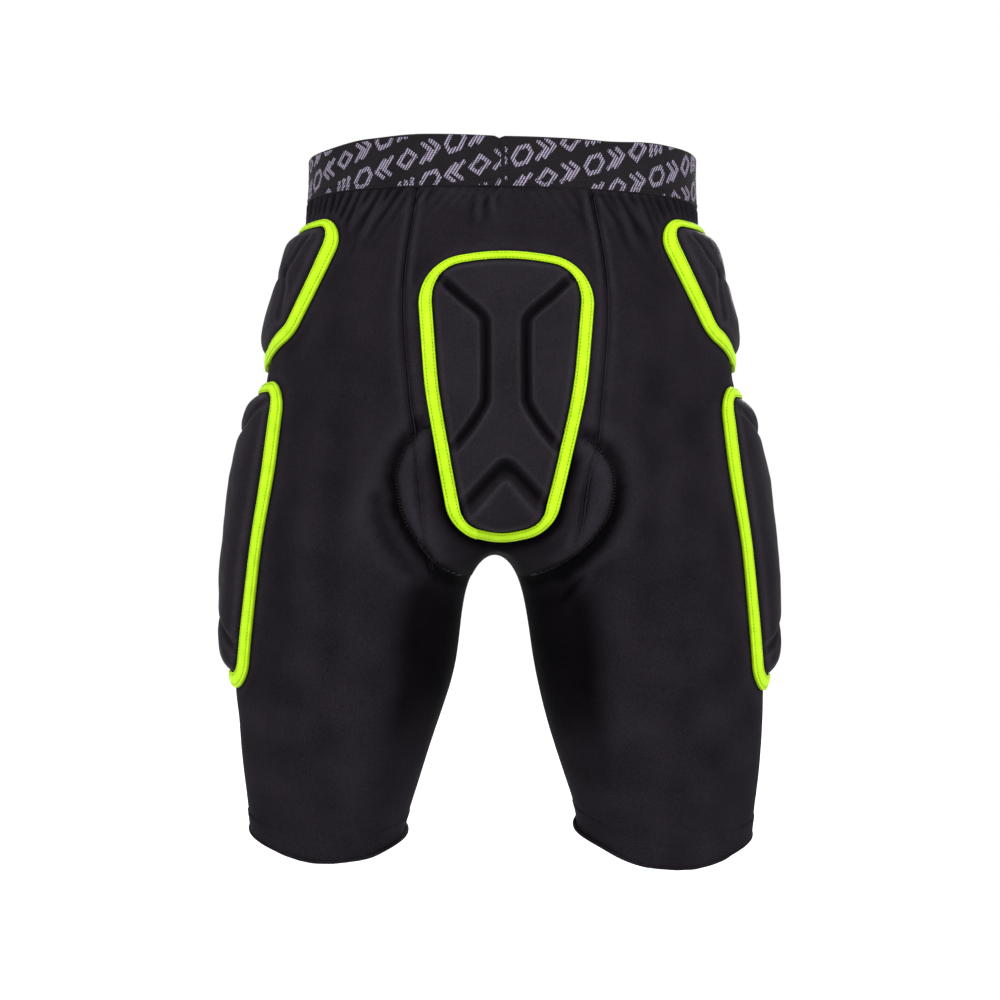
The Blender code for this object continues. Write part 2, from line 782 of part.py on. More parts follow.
sheets = (
    ("centre_back_panel", "centre_back"),
    ("centre_front_panel", "centre_front"),
    ("crotch_gusset", "gusset"),
)
for name, panel in sheets:
    panel_shell(name, surface, by_panel[panel], 0.0, -FABRIC_THICKNESS, KNIT)
for side in ("left", "right"):
    panel_shell(side + "_leg_panel", surface, by_panel[side + "_leg"], 0.0, -FABRIC_THICKNESS, KNIT)
    low = HEM_PROUD - HEM_THICKNESS
    panel_shell(side + "_hem", surface, by_panel[side + "_hem"], HEM_PROUD, low, HEM)
low = WAISTBAND_PROUD - WAISTBAND_THICKNESS
panel_shell("waistband", surface, by_panel["waistband"], WAISTBAND_PROUD, low, ELASTIC)
panel_shell("seat_chamois", surface, seat, -CHAMOIS_TOP, -CHAMOIS_BOTTOM, CHAMOIS, 0.002)

form = Form(points, normals, quads)
tail_pad(form)
for side_name, side in (("left", -1), ("right", 1)):
    hip_pad(side_name + "_hip_pad", side, form)
    thigh_pad(side_name + "_thigh_pad", side, form)
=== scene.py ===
"""Looks of the padded impact shorts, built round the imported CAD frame.

Frame: metres, +Z up, +Y the way the wearer faces, +X the wearer's right, from the centre
of the waist opening. The garment form is the CAD model's own smooth form, taken finer, so
every piece lies where its CAD node lies.
"""

import math

import bpy
import numpy as np
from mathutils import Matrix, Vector
from mathutils.bvhtree import BVHTree
from mathutils.kdtree import KDTree


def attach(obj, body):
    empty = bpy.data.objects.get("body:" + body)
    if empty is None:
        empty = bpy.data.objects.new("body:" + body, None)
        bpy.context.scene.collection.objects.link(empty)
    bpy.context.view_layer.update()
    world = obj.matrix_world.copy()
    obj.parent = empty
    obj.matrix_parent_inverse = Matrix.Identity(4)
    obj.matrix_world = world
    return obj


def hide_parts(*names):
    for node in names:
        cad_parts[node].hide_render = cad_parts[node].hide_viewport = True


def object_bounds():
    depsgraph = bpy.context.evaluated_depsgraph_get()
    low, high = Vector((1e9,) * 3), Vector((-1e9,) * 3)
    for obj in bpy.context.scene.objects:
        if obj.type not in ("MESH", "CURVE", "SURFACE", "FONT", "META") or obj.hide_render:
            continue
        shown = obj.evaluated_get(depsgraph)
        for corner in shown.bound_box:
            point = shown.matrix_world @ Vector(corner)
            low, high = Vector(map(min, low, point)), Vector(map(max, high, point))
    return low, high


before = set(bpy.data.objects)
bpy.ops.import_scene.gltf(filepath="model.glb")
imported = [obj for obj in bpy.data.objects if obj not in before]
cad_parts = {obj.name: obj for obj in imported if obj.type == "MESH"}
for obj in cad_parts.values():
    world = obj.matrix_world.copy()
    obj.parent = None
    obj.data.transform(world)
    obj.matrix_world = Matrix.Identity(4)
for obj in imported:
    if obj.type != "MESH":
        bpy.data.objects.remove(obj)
CAD_BOX = [[float(v) for v in corner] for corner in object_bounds()]

# ---- dimensions
MM = 0.001
WAISTBAND_HEIGHT = 0.033
HALF_BAND = WAISTBAND_HEIGHT / 2
WAISTBAND_TILT = 0.012
# each trunk level: height, half width, depth behind, depth in front, rear seam, front seam
TRUNK = (
    (HALF_BAND, 0.1358, 0.0990, 0.0950, 0.0560, 0.0550),
    (-HALF_BAND, 0.1368, 0.1000, 0.0960, 0.0570, 0.0550),
    (-0.062, 0.1450, 0.1080, 0.0980, 0.0645, 0.0570),
    (-0.108, 0.1570, 0.1160, 0.0985, 0.0660, 0.0580),
    (-0.154, 0.1650, 0.1200, 0.0970, 0.0620, 0.0560),
    (-0.200, 0.1705, 0.1160, 0.0930, 0.0560, 0.0520),
)
TRUNK_PANELS = (
    "centre_back", *("right_leg",) * 4, *("centre_front",) * 2, *("left_leg",) * 4, "centre_back",
)
TRUNK_SQUARENESS = 2.25
LEG_SQUARENESS = 2.05
# (y, z) of the line between the legs, and (x, y) of the crease where a leg starts
CROTCH = ((-0.092, -0.2415), (-0.054, -0.2550), (0.000, -0.2585), (0.044, -0.2530), (0.075, -0.2320))
CREASE = ((0.0490, -0.1050), (0.1350, -0.0860), (0.1755, -0.0010), (0.1330, 0.0760), (0.0500, 0.0900))
CREASE_DROP = (0.0, 0.001, 0.002, 0.001, 0.0)
CREASE_HEIGHT = -0.2445
# each leg level: outer height, inner height, outer x, inner x, depth behind, depth in front
LEG = (
    (-0.292, -0.283, 0.1800, 0.0196, 0.0890, 0.0800),
    (-0.362, -0.352, 0.1838, 0.0330, 0.0755, 0.0725),
    (-0.441, -0.433, 0.1775, 0.0572, 0.0640, 0.0630),
    (-0.4546, -0.4464, 0.1752, 0.0586, 0.0632, 0.0622),
)
LEG_ANGLES = (-134, -106, -52, 0, 52, 106, 134, 158, 180, -158)
HEM_REAR_DROP = 0.0085
RIGHT_LEG_LONGER = 0.0045
STANCE_SHIFT = 0.0042
STANCE_SHIFT_AT_HEM = 0.0068

FINENESS = 5
GATHERS_END = -0.082
GRID_STEP = 1.05 * MM
FABRIC = 1.2 * MM
JOIN_AT = -0.0035
WAIST_RADIUS = 0.132
BAND_RADIUS = 0.130
PANEL_RADIUS = 0.140
# where the rays start: behind the garment, beside a leg, round the waist
REAR_PLANE = -0.4
SIDE_CAST = 0.3
BAND_CAST = 0.4
SEAM_REACH = 9 * MM


# ---- small helpers
def ease(t):
    t = np.clip(t, 0.0, 1.0)
    return t * t * (3 - 2 * t)


def bell(t):
    return np.exp(-np.square(t))


def unit(v):
    return v / np.maximum(np.linalg.norm(v, axis=-1, keepdims=True), 1e-12)


def waves(points, size, seed, octaves=3):
    """Smooth random values about 0 at each point: a few crossed waves."""
    rng = np.random.default_rng(seed)
    total = np.zeros(len(points))
    for k in range(octaves):
        for _ in range(5):
            way = unit(rng.normal(size=3)) * (2 * math.pi / size) * 1.8**k
            total += np.sin(points @ way + rng.uniform(0, 2 * math.pi)) / 1.7**k
    return total / 5


def in_box(points, targets, margin):
    """Which points lie in the box round the targets, widened by a margin."""
    return np.flatnonzero(((points > targets.min(0) - margin) & (points < targets.max(0) + margin)).all(1))


def read(items, field, width=1, kind=np.int32):
    """One field of all the items of a mesh."""
    flat = np.empty(len(items) * width, dtype=kind)
    items.foreach_get(field, flat)
    return flat


def read_points(mesh):
    return read(mesh.vertices, "co", 3, np.float32).reshape(-1, 3).astype(float)


def link(name, data):
    item = bpy.data.objects.new(name, data)
    bpy.context.scene.collection.objects.link(item)
    return item


def grid_quads(index):
    return np.stack([index[:-1, :-1], index[:-1, 1:], index[1:, 1:], index[1:, :-1]], -1).reshape(-1, 4)


def tube_faces(first, rings, loops):
    """Faces of a capped tube, from the index of its first point."""
    here = first + np.arange(loops)
    ahead = np.roll(here, -1)
    faces = []
    for r in range(rings - 1):
        low, high = r * loops, (r + 1) * loops
        faces += np.stack([here + low, ahead + low, ahead + high, here + high], 1).tolist()
    return faces + [here[::-1].tolist(), (here + (rings - 1) * loops).tolist()]


def add_piece(name, points, faces, material, uv, shade=None, normals=None):
    """A mesh object that rides on the one body; shade is painted shade that darkens hollows and painted
    highlight that lightens ridges.
    """
    mesh = bpy.data.meshes.new(name)
    mesh.from_pydata(np.asarray(points, dtype=float).tolist(), [], faces)
    layer = mesh.uv_layers.new(name="UVMap")
    corner = read(mesh.loops, "vertex_index")
    layer.data.foreach_set("uv", np.asarray(uv, dtype=np.float32)[corner].ravel())
    mesh.polygons.foreach_set("use_smooth", [True] * len(mesh.polygons))
    mesh.materials.append(material)
    # the shade attribute: painted shade and painted highlight
    if shade is not None:
        layer = mesh.attributes.new("shade", "FLOAT", "POINT")
        layer.data.foreach_set("value", np.asarray(shade, dtype=np.float32))
    mesh.update()
    if normals is not None:
        mesh.normals_split_custom_set_from_vertices(np.asarray(normals, dtype=float).tolist())
    piece = link(name, mesh)
    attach(piece, "root")
    return piece


def closed_sheet(name, top, bottom, quads, material, uv, tris=(), shade=None, normals=None):
    """A thin closed body from two layers that share their faces."""
    shapes = [quads, tris] if len(tris) else [quads]
    used = np.unique(np.concatenate([shape.ravel() for shape in shapes]))
    place = np.full(len(top), -1)
    place[used] = np.arange(len(used))
    count = len(used)
    shapes = [place[shape] for shape in shapes]
    edges = np.concatenate([np.stack([f[:, k], np.roll(f, -1, axis=1)[:, k]], 1)
                            for f in shapes for k in range(f.shape[1])])
    key = np.sort(edges, axis=1)
    _, where, uses = np.unique(key[:, 0] * count + key[:, 1], return_index=True, return_counts=True)
    rim = edges[where[uses == 1]]
    faces = np.stack([rim[:, 1], rim[:, 0], rim[:, 0] + count, rim[:, 1] + count], 1).tolist()
    for shape in shapes:
        faces += shape.tolist() + (shape[:, ::-1] + count).tolist()
    points = np.concatenate([top[used], bottom[used]])
    both = np.concatenate([used, used])
    if normals is not None:
        normals = np.concatenate([normals[used], -normals[used]])
    if shade is not None:
        shade = shade[both]
    return add_piece(name, points, faces, material, uv[both], shade, normals)


def make_outward(piece):
    """Turns a closed piece's faces outwards."""
    mesh = piece.data
    mesh.calc_loop_triangles()
    corner = read(mesh.loop_triangles, "vertices", 3).reshape(-1, 3)
    a, b, c = (read_points(mesh)[corner[:, k]] for k in range(3))
    if (a * np.cross(b, c)).sum() < 0:
        mesh.flip_normals()


# ---- the garment form
def section_point(angle, half_width, rear, front, squareness):
    c, s = math.cos(math.radians(angle)), math.sin(math.radians(angle))
    depth = rear if s < 0 else front
    power = 2 / squareness
    return half_width * math.copysign(abs(c) ** power, c), depth * math.copysign(abs(s) ** power, s)


def seam_point(x, half_width, depth):
    return x, depth * max(1 - (x / half_width) ** TRUNK_SQUARENESS, 0.0) ** (1 / TRUNK_SQUARENESS)


def trunk_ring(level, tilt):
    """Twelve points of one trunk section, from the rear centre round the right side."""
    z, width, rear, front, rear_seam, front_seam = level
    x, y = seam_point(rear_seam, width, rear)
    half = [
        (0.0, -rear),
        (x, -y),
        section_point(-33, width, rear, front, TRUNK_SQUARENESS),
        (width, 0.0),
        section_point(33, width, rear, front, TRUNK_SQUARENESS),
        seam_point(front_seam, width, front),
        (0.0, front),
    ]
    left = [(-x, y, z + tilt * x) for x, y in half[-2:0:-1]]
    return [(x, y, z - tilt * x) for x, y in half] + left


def leg_ring(index, side):
    """Ten points of one leg section; side is +1 for the wearer's right leg."""
    outer_z, inner_z, outer_x, inner_x, rear, front = LEG[index]
    share = index / (len(LEG) - 1)
    inner = inner_x - side * (STANCE_SHIFT + (STANCE_SHIFT_AT_HEM - STANCE_SHIFT) * share)
    half = (outer_x - inner) / 2
    drop = HEM_REAR_DROP * min(index / (len(LEG) - 2), 1)
    ring = []
    for angle in LEG_ANGLES:
        x, y = section_point(angle, half, rear, front, LEG_SQUARENESS)
        z = inner_z + (outer_z - inner_z) * (1 + x / half) / 2 + drop * y / rear
        z -= RIGHT_LEG_LONGER * share * max(side, 0)
        ring.append((side * ((outer_x + inner) / 2 + x), y, z))
    return ring


def form_cage():
    """Points the garment surface passes through, and its faces: corners, panel, in the seat."""
    points = []
    faces = []
    trunk = []
    for row, level in enumerate(TRUNK):
        trunk.append([len(points) + k for k in range(12)])
        points.extend(trunk_ring(level, WAISTBAND_TILT if row < 2 else 0))
    for row, (upper, lower) in enumerate(zip(trunk, trunk[1:])):
        for k in range(12):
            j = (k + 1) % 12
            panel = TRUNK_PANELS[k] if row else "waistband"
            seat = panel == "centre_back" and row == len(TRUNK) - 2
            faces.append(((upper[k], upper[j], lower[j], lower[k]), panel, seat))
    crotch = [len(points) + k for k in range(5)]
    points.extend((-STANCE_SHIFT, y, z) for y, z in CROTCH)
    for side, panel in ((1, "right_leg"), (-1, "left_leg")):
        top = [trunk[-1][(side * k) % 12] for k in range(7)]
        split = [len(points) + k for k in range(5)]
        points.extend((side * x, y, CREASE_HEIGHT - drop) for (x, y), drop in zip(CREASE, CREASE_DROP))
        loop = [crotch[0], *split, *crotch[:0:-1]]
        for k in range(6):
            name = {0: "centre_back", 5: "centre_front"}.get(k, panel)
            quad = (top[k], top[k + 1], loop[k + 1], loop[k])
            faces.append((quad[::side], name, name != panel))
        for index in range(len(LEG)):
            ring = [len(points) + k for k in range(10)]
            points.extend(leg_ring(index, side))
            for k in range(10):
                j = (k + 1) % 10
                name = "crotch_gusset" if index == 0 and k >= 6 else panel
                if index == len(LEG) - 1:
                    name = panel.replace("leg", "hem")
                quad = (loop[k], loop[j], ring[j], ring[k])
                faces.append((quad[::side], name, index == 0 and k in (0, 5, 6, 7, 8, 9)))
            loop = ring
    return np.array(points), faces


def fit_cage(points, faces, rounds=40):
    """Moves the cage until its smooth surface passes through the given points."""
    uses = {}
    around = [set() for _ in points]
    opposite = [[] for _ in points]
    for quad, _, _ in faces:
        for k in range(4):
            a, b = quad[k], quad[(k + 1) % 4]
            uses[frozenset((a, b))] = uses.get(frozenset((a, b)), 0) + 1
            around[a].add(b)
            around[b].add(a)
            opposite[a].append(quad[(k + 2) % 4])
    rim = [[] for _ in points]
    for a, b in (tuple(edge) for edge, count in uses.items() if count == 1):
        rim[a].append(b)
        rim[b].append(a)
    cage = points.copy()
    for _ in range(rounds):
        limit = np.empty_like(cage)
        for k in range(len(cage)):
            if rim[k]:
                limit[k] = (4 * cage[k] + cage[rim[k]].sum(axis=0)) / 6
                continue
            n = len(around[k])
            ring = 4 * cage[list(around[k])].sum(axis=0) + cage[opposite[k]].sum(axis=0)
            limit[k] = (n * n * cage[k] + ring) / (n * (n + 5))
        cage += 0.8 * (points - limit)
    return cage


def point_normals(points, shapes):
    """Unit normals at the points of quads or triangles."""
    corners = points[shapes]
    face = np.cross(corners[:, 2] - corners[:, 0], corners[:, -1] - corners[:, 1])
    total = np.zeros_like(points)
    for k in range(shapes.shape[1]):
        np.add.at(total, shapes[:, k], face)
    return unit(total)


def hang(points):
    """Moves the form to the way it hangs: slimmer down its left side, with sagging hems."""
    x, _, z = points.T
    slimmer = 3.2 * MM * ease((z + 0.16) / 0.12) + 2.2 * MM * ease((-0.345 - z) / 0.03)
    x += ease((-x - 0.05) / 0.09) * slimmer
    inner_leg = ease((x + 0.09) / 0.05) * bell((z + 0.335) / 0.035) * (x < -STANCE_SHIFT)
    x += 3.0 * MM * inner_leg * ease((-0.26 - z) / 0.03)
    for side, centre, half in ((-1, 0.1203, 0.0549), (1, 0.1135, 0.0617)):
        leg = (x * side > 0) & (z < -0.37)
        out = (x[leg] * side - centre) / half
        if side < 0:
            lift = -2.4 * MM + 10.9 * MM * ease((out + 0.1) / 1.1)
        else:
            lift = -3.2 * MM + 10.5 * MM * ease((out - 0.1) / 0.9) + 8.0 * MM * ease((-out - 0.15) / 0.85)
        z[leg] += lift * ease((-0.375 - z[leg]) / 0.065)


class Form:
    """The smooth garment surface, its panels, and ways to lay things on it."""

    def __init__(self):
        targets, faces = form_cage()
        mesh = bpy.data.meshes.new("garment_form")
        mesh.from_pydata(fit_cage(targets, faces).tolist(), [], [quad for quad, _, _ in faces])
        self.names = sorted({name for _, name, _ in faces})
        for polygon, (_, name, seat) in zip(mesh.polygons, faces):
            polygon.material_index = self.names.index(name) * 2 + int(seat)
        for _ in range(2 * len(self.names)):
            mesh.materials.append(None)
        form = link("garment_form", mesh)
        smooth = form.modifiers.new("smooth", "SUBSURF")
        smooth.levels = smooth.render_levels = FINENESS
        bpy.context.view_layer.update()
        fine = form.evaluated_get(bpy.context.evaluated_depsgraph_get()).to_mesh()
        self.points = read_points(fine)
        self.quads = read(fine.loops, "vertex_index").reshape(-1, 4).astype(int)
        group = read(fine.polygons, "material_index")
        self.panel, self.seat = group // 2, group % 2 == 1
        bpy.data.objects.remove(form, do_unlink=True)
        bpy.data.meshes.remove(mesh)
        if point_normals(self.points, self.quads)[np.argmax(self.points[:, 0]), 0] < 0:
            self.quads = self.quads[:, ::-1].copy()
        hang(self.points)
        self.split_columns()
        self.normals = point_normals(self.points, self.quads)
        self.tris = np.concatenate([self.quads[:, :3], self.quads[:, [0, 2, 3]], self.fans])
        self.tree = BVHTree.FromPolygons(self.points.tolist(), self.tris.tolist())

    def split_columns(self):
        """Halves the width of the faces below the waistband, where the gathers are."""
        quads = self.quads
        rise = np.abs(np.diff(self.points[np.concatenate([quads, quads[:, :1]], 1)][:, :, 2], axis=1))
        turned = rise[:, 0] + rise[:, 2] > rise[:, 1] + rise[:, 3]
        quads[turned] = np.roll(quads[turned], 1, axis=1)
        height = self.points[quads][:, :, 2]
        flip = height[:, 0] + height[:, 1] < height[:, 3] + height[:, 2]
        quads[flip] = np.roll(quads[flip], 2, axis=1)
        band = self.panel == self.names.index("waistband")
        inside = ~band & (height > GATHERS_END).all(1)
        count = len(self.points)
        key = np.sort(np.concatenate([quads[inside][:, [0, 1]], quads[inside][:, [3, 2]]]), axis=1)
        key, back = np.unique(key[:, 0] * count + key[:, 1], return_inverse=True)
        middle = count + np.arange(len(key))
        ends = np.stack([key // count, key % count], 1)
        self.points = np.concatenate([self.points, self.points[ends].mean(1)])
        top, foot = middle[back].reshape(2, -1)
        a, b, c, d = quads[inside].T
        halves = np.concatenate([np.stack([a, top, foot, d], 1), np.stack([top, b, c, foot], 1)])
        edge = np.sort(quads[:, [0, 1]], axis=1)
        edge = edge[:, 0] * count + edge[:, 1]
        below = ~inside & ~band & np.isin(edge, key)
        a, b, c, d = quads[below].T
        m = middle[np.searchsorted(key, edge[below])]
        self.fans = np.concatenate([np.stack([a, m, d], 1), np.stack([m, b, c], 1), np.stack([m, c, d], 1)])
        self.fan_panel = np.tile(self.panel[below], 3)
        kept = ~inside & ~below
        self.quads = np.concatenate([quads[kept], halves])
        self.seat = np.concatenate([self.seat[kept], np.tile(self.seat[inside], 2)])
        self.panel = np.concatenate([self.panel[kept], np.tile(self.panel[inside], 2)])

    def faces_of(self, name):
        return self.quads[self.panel == self.names.index(name)]

    def fans_of(self, name):
        return self.fans[self.fan_panel == self.names.index(name)]

    def shared(self, first, second):
        """The points that two panels share."""
        return self.points[np.intersect1d(self.faces_of(first), self.faces_of(second))]

    def border(self, first, second, low, front):
        """The border between two panels, from the waistband down to a height."""
        spots = self.shared(first, second)
        spots = spots[(spots[:, 2] > low) & ((spots[:, 1] > 0) == front)]
        return spots[np.argsort(-spots[:, 2])]

    def dress(self, depth):
        """Sets how far the fabric stands off the form, and the worn surface's own normals."""
        self.depth = depth
        self.worn = self.points + self.normals * depth[:, None]
        total = point_normals(self.worn, self.tris)
        self.worn_normals = total * np.sign((total * self.normals).sum(1))[:, None]
        self.worn_tree = BVHTree.FromPolygons(self.worn.tolist(), self.tris.tolist())

    def touch(self, starts, ways):
        """Where straight lines meet the form, and its smooth normals there."""
        hits = np.empty_like(starts)
        index = np.empty(len(starts), dtype=int)
        for k, (start, way) in enumerate(zip(starts.tolist(), ways.tolist())):
            spot, _, face, _ = self.tree.ray_cast(Vector(start), Vector(way))
            if spot is None:
                spot, _, face, _ = self.tree.find_nearest(Vector(start) + Vector(way) * 0.2)
            hits[k] = spot
            index[k] = face
        a, b, c = (self.points[self.tris[index, k]] for k in range(3))
        u, v, w = b - a, c - a, hits - a
        uu, uv, vv = (u * u).sum(1), (u * v).sum(1), (v * v).sum(1)
        wu, wv = (w * u).sum(1), (w * v).sum(1)
        area = np.maximum(uu * vv - uv * uv, 1e-18)
        second = (vv * wu - uv * wv) / area
        third = (uu * wv - uv * wu) / area
        shares = np.stack([1 - second - third, second, third], 1)
        return hits, unit((self.normals[self.tris[index]] * shares[:, :, None]).sum(1))

    def rear(self, spots):
        """Places (x, z) spots on the rear of the form."""
        return self.touch(*from_behind(np.asarray(spots, dtype=float)))[0]

    def on_fabric(self, path):
        """Puts rear (x, z) spots, or points in space, on the worn fabric, with the normals there."""
        placed = []
        outs = []
        for spot in path.tolist():
            if len(spot) == 2:
                start = Vector((spot[0], REAR_PLANE, spot[1]))
                hit, _, face, _ = self.worn_tree.ray_cast(start, Vector((0, 1, 0)))
            else:
                hit, _, face, _ = self.worn_tree.find_nearest(Vector(spot))
            if hit is not None:
                placed.append(hit)
                outs.append(self.worn_normals[self.tris[face]].mean(0))
        for _ in range(3):
            padded = np.array([outs[0], *outs, outs[-1]])
            outs = (padded[:-2] + 2 * padded[1:-1] + padded[2:]) / 4
        return np.array(placed), unit(outs)


def from_behind(flat):
    starts = np.stack([flat[:, 0], np.full(len(flat), REAR_PLANE), flat[:, 1]], 1)
    return starts, np.tile((0.0, 1.0, 0.0), (len(flat), 1))


# ---- flat outlines
def rounded_outline(corners, radii, steps=16):
    """A polygon with rounded corners; the middle of each rounding is marked."""
    path = []
    marks = []
    for k, radius in enumerate(radii):
        here = np.array(corners[k])
        before = unit(np.array(corners[k - 1]) - here)
        after = unit(np.array(corners[(k + 1) % len(corners)]) - here)
        half = math.acos(float(np.clip(np.dot(before, after), -1, 1))) / 2
        reach = radius / math.tan(half)
        centre = here + unit(before + after) * radius / math.sin(half)
        start, end = (math.atan2(*(here + way * reach - centre)[::-1]) for way in (before, after))
        turn = (end - start + math.pi) % (2 * math.pi) - math.pi
        marks.append(len(path) + steps // 2)
        for angle in start + turn * np.arange(steps + 1) / steps:
            path.append(centre + radius * np.array((math.cos(angle), math.sin(angle))))
    return np.array(path), marks


def run_length(path):
    return np.concatenate([[0], np.cumsum(np.linalg.norm(np.diff(path, axis=0), axis=1))])


def sample(path, length, at):
    """Points of a path at distances along it."""
    return np.stack([np.interp(at, length, column) for column in path.T], -1)


def resample(path, step):
    length = run_length(path)
    count = max(int(round(length[-1] / step)), 2)
    return sample(path, length, np.linspace(0, length[-1], count + 1))


def curve_through(spots, step=2 * MM):
    """A smooth path through a few points (Catmull-Rom), at an even step."""
    spots = np.asarray(spots, dtype=float)
    held = np.concatenate([2 * spots[:1] - spots[1:2], spots, 2 * spots[-1:] - spots[-2:-1]])
    run = []
    for a, b, c, d in zip(held, held[1:], held[2:], held[3:]):
        for t in np.linspace(0, 1, 12, endpoint=False):
            bend = (2 * a - 5 * b + 4 * c - d) * t**2 + (3 * b - 3 * c + d - a) * t**3
            run.append(0.5 * (2 * b + (c - a) * t + bend))
    return resample(np.array(run + [held[-2]]), step)


def patch_of(path, marks):
    """Maps the unit square onto an outline marked at its four corners (a Coons patch)."""

    def side(start, end):
        stop = end if end > start else end + len(path)
        run = path[np.arange(start, stop + 1) % len(path)]
        length = run_length(run)
        return lambda t: sample(run, length / length[-1], t)

    a, b, c, d = marks
    bottom, right, top, left = side(a, b), side(b, c), side(c, d), side(d, a)

    def at(u, v):
        low, high, west, east = bottom(u), top(1 - u), left(1 - v), right(v)
        u, v = u[..., None], v[..., None]
        flat = (1 - v) * low + v * high + (1 - u) * west + u * east
        flat -= (1 - u) * (1 - v) * bottom(0.0) + u * (1 - v) * bottom(1.0)
        return flat - (1 - u) * v * top(1.0) - u * v * top(0.0)

    return at


def to_path(spots, path, closed=False):
    """Distance from each spot to a path, and the index of the nearest stretch."""
    ends = np.roll(path, -1, axis=0) if closed else path[1:]
    best = np.full(len(spots), 1.0)
    near = np.zeros(len(spots), dtype=int)
    for k, (a, b) in enumerate(zip(path, ends)):
        along = b - a
        t = np.clip((spots - a) @ along / max(float(along @ along), 1e-12), 0, 1)
        gap = np.linalg.norm(spots - a - t[:, None] * along, axis=1)
        closer = gap < best
        best[closer] = gap[closer]
        near[closer] = k
    return best, near


def within(spots, path):
    """Whether each flat spot lies inside a closed path."""
    x, y = spots.T
    inside = np.zeros(len(spots), dtype=bool)
    for (ax, ay), (bx, by) in zip(path, np.roll(path, -1, axis=0)):
        if ay != by:
            inside ^= ((ay > y) != (by > y)) & (x < (bx - ax) * (y - ay) / (by - ay) + ax)
    return inside


def mirrored(path):
    return path * (-1, 1)


# ---- materials
class Look:
    """A Principled material, with short ways to add nodes to it."""

    def __init__(self, name, roughness, sheen, sheen_colour, specular=0.022):
        self.material = bpy.data.materials.new(name)
        self.material.use_nodes = True
        self.tree = self.material.node_tree
        self.shader = self.tree.nodes["Principled BSDF"]
        self.plug(self.shader, Roughness=roughness, Sheen_Weight=sheen, Sheen_Roughness=0.45,
                  Sheen_Tint=(*sheen_colour, 1), Specular_IOR_Level=specular)
        self.place = self.tree.nodes.new("ShaderNodeTexCoord").outputs["Object"]
        split = self.add("SeparateXYZ", self.tree.nodes.new("ShaderNodeUVMap").outputs[0])
        self.u, self.v = split.outputs[:2]

    def plug(self, node, *values, **named):
        """Links sockets to a node's inputs, in order or by name, or sets constants on them."""
        pairs = list(zip(node.inputs, values))
        pairs += [(node.inputs[name.replace("_", " ")], value) for name, value in named.items()]
        for socket, value in pairs:
            if isinstance(value, bpy.types.NodeSocket):
                self.tree.links.new(value, socket)
            else:
                socket.default_value = value

    def add(self, kind, *values, operation=None, **named):
        node = self.tree.nodes.new("ShaderNode" + kind)
        if operation:
            node.operation = operation
        self.plug(node, *values, **named)
        return node

    def math(self, operation, *values):
        return self.add("Math", *values, operation=operation).outputs[0]

    def blend(self, *parts):
        """A weighted sum of values."""
        total = 0.0
        for value, share in parts:
            total = self.math("MULTIPLY_ADD", value, share, total)
        return total

    def ripple(self, value, pitch):
        """A sine of one wave per pitch, from 0 to 1."""
        wave = self.math("SINE", self.math("MULTIPLY", value, 2 * math.pi / pitch))
        return self.math("MULTIPLY_ADD", wave, 0.5, 0.5)

    def noise(self, scale, detail=2.0):
        return self.add("TexNoise", Scale=scale, Detail=detail, Vector=self.place).outputs["Fac"]

    def paint(self, factor, dark, light, low, high):
        """Base colour by a ramp, multiplied by 1 + the mesh's shade value, its painted shade and painted
        highlight.
        """
        # the shade attribute read here holds painted shade and painted highlight, not wear
        worn = self.add("Attribute")
        worn.attribute_name = "shade"
        scale = self.math("ADD", worn.outputs["Fac"], 1.0)
        colour = ramp(self.tree, factor, dark, light, low, high)
        colour = self.add("VectorMath", colour, operation="SCALE", Scale=scale).outputs[0]
        self.plug(self.shader, Base_Color=colour)

    def relief(self, height, depth, **before):
        bump = self.add("Bump", Strength=1.0, Distance=depth, Height=height, **before).outputs[0]
        self.plug(self.shader, Normal=bump)
        return bump


def ramp(tree, factor, dark, light, low, high):
    node = tree.nodes.new("ShaderNodeValToRGB")
    for stop, position, colour in zip(node.color_ramp.elements, (low, high), (dark, light)):
        stop.position = position
        stop.color = (*colour, 1)
    tree.links.new(factor, node.inputs[0])
    return node.outputs[0]


def knit(name, dark, light, roughness, pitch, depth, sheen=0.012, specular=0.022):
    """A fine jersey knit: wales across, courses up, with a little colour drift."""
    look = Look(name, roughness, sheen, (0.55, 0.50, 0.62), specular)
    wale = look.ripple(look.u, pitch)
    course = look.ripple(look.math("MULTIPLY_ADD", wale, pitch * 0.5, look.v), pitch * 0.8)
    loops = look.math("MULTIPLY", wale, course)
    drift, speck = look.noise(28.0, 3.0), look.noise(950.0, 1.0)
    look.paint(look.blend((drift, 0.55), (speck, 0.85), (loops, 0.22)), dark, light, 0.50, 1.00)
    look.plug(look.shader, Roughness=look.math("MULTIPLY_ADD", drift, 0.16, roughness - 0.08))
    look.relief(loops, depth, Normal=look.relief(speck, depth * 0.6))
    return look.material


def elastic(name, dark, light):
    """Woven elastic: firm ribs running round the waist."""
    look = Look(name, 0.74, 0.02, (0.6, 0.55, 0.65), 0.1)
    weave = look.blend((look.ripple(look.v, 1.15 * MM), 1.0), (look.ripple(look.u, 0.9 * MM), 0.35))
    look.paint(look.blend((weave, 0.4), (look.noise(60.0), 1.0)), dark, light, 0.4, 1.1)
    look.relief(weave, 0.16 * MM)
    return look.material


def jacquard(name, dark, light, pitch):
    """Floats of light yarn laid in a slanted twill, with dark ground between."""
    look = Look(name, 0.62, 0.06, (0.8, 0.78, 0.9))
    slant = look.math("MULTIPLY_ADD", look.v, -0.6, look.u)
    twill = look.math("POWER", look.ripple(slant, pitch), 1.5)
    floats = look.blend((twill, 0.85), (look.ripple(look.v, pitch * 0.62), 0.25))
    look.paint(look.blend((floats, 1.0), (look.noise(220.0), 0.35)), dark, light, 0.38, 0.86)
    look.relief(floats, 0.22 * MM)
    return look.material


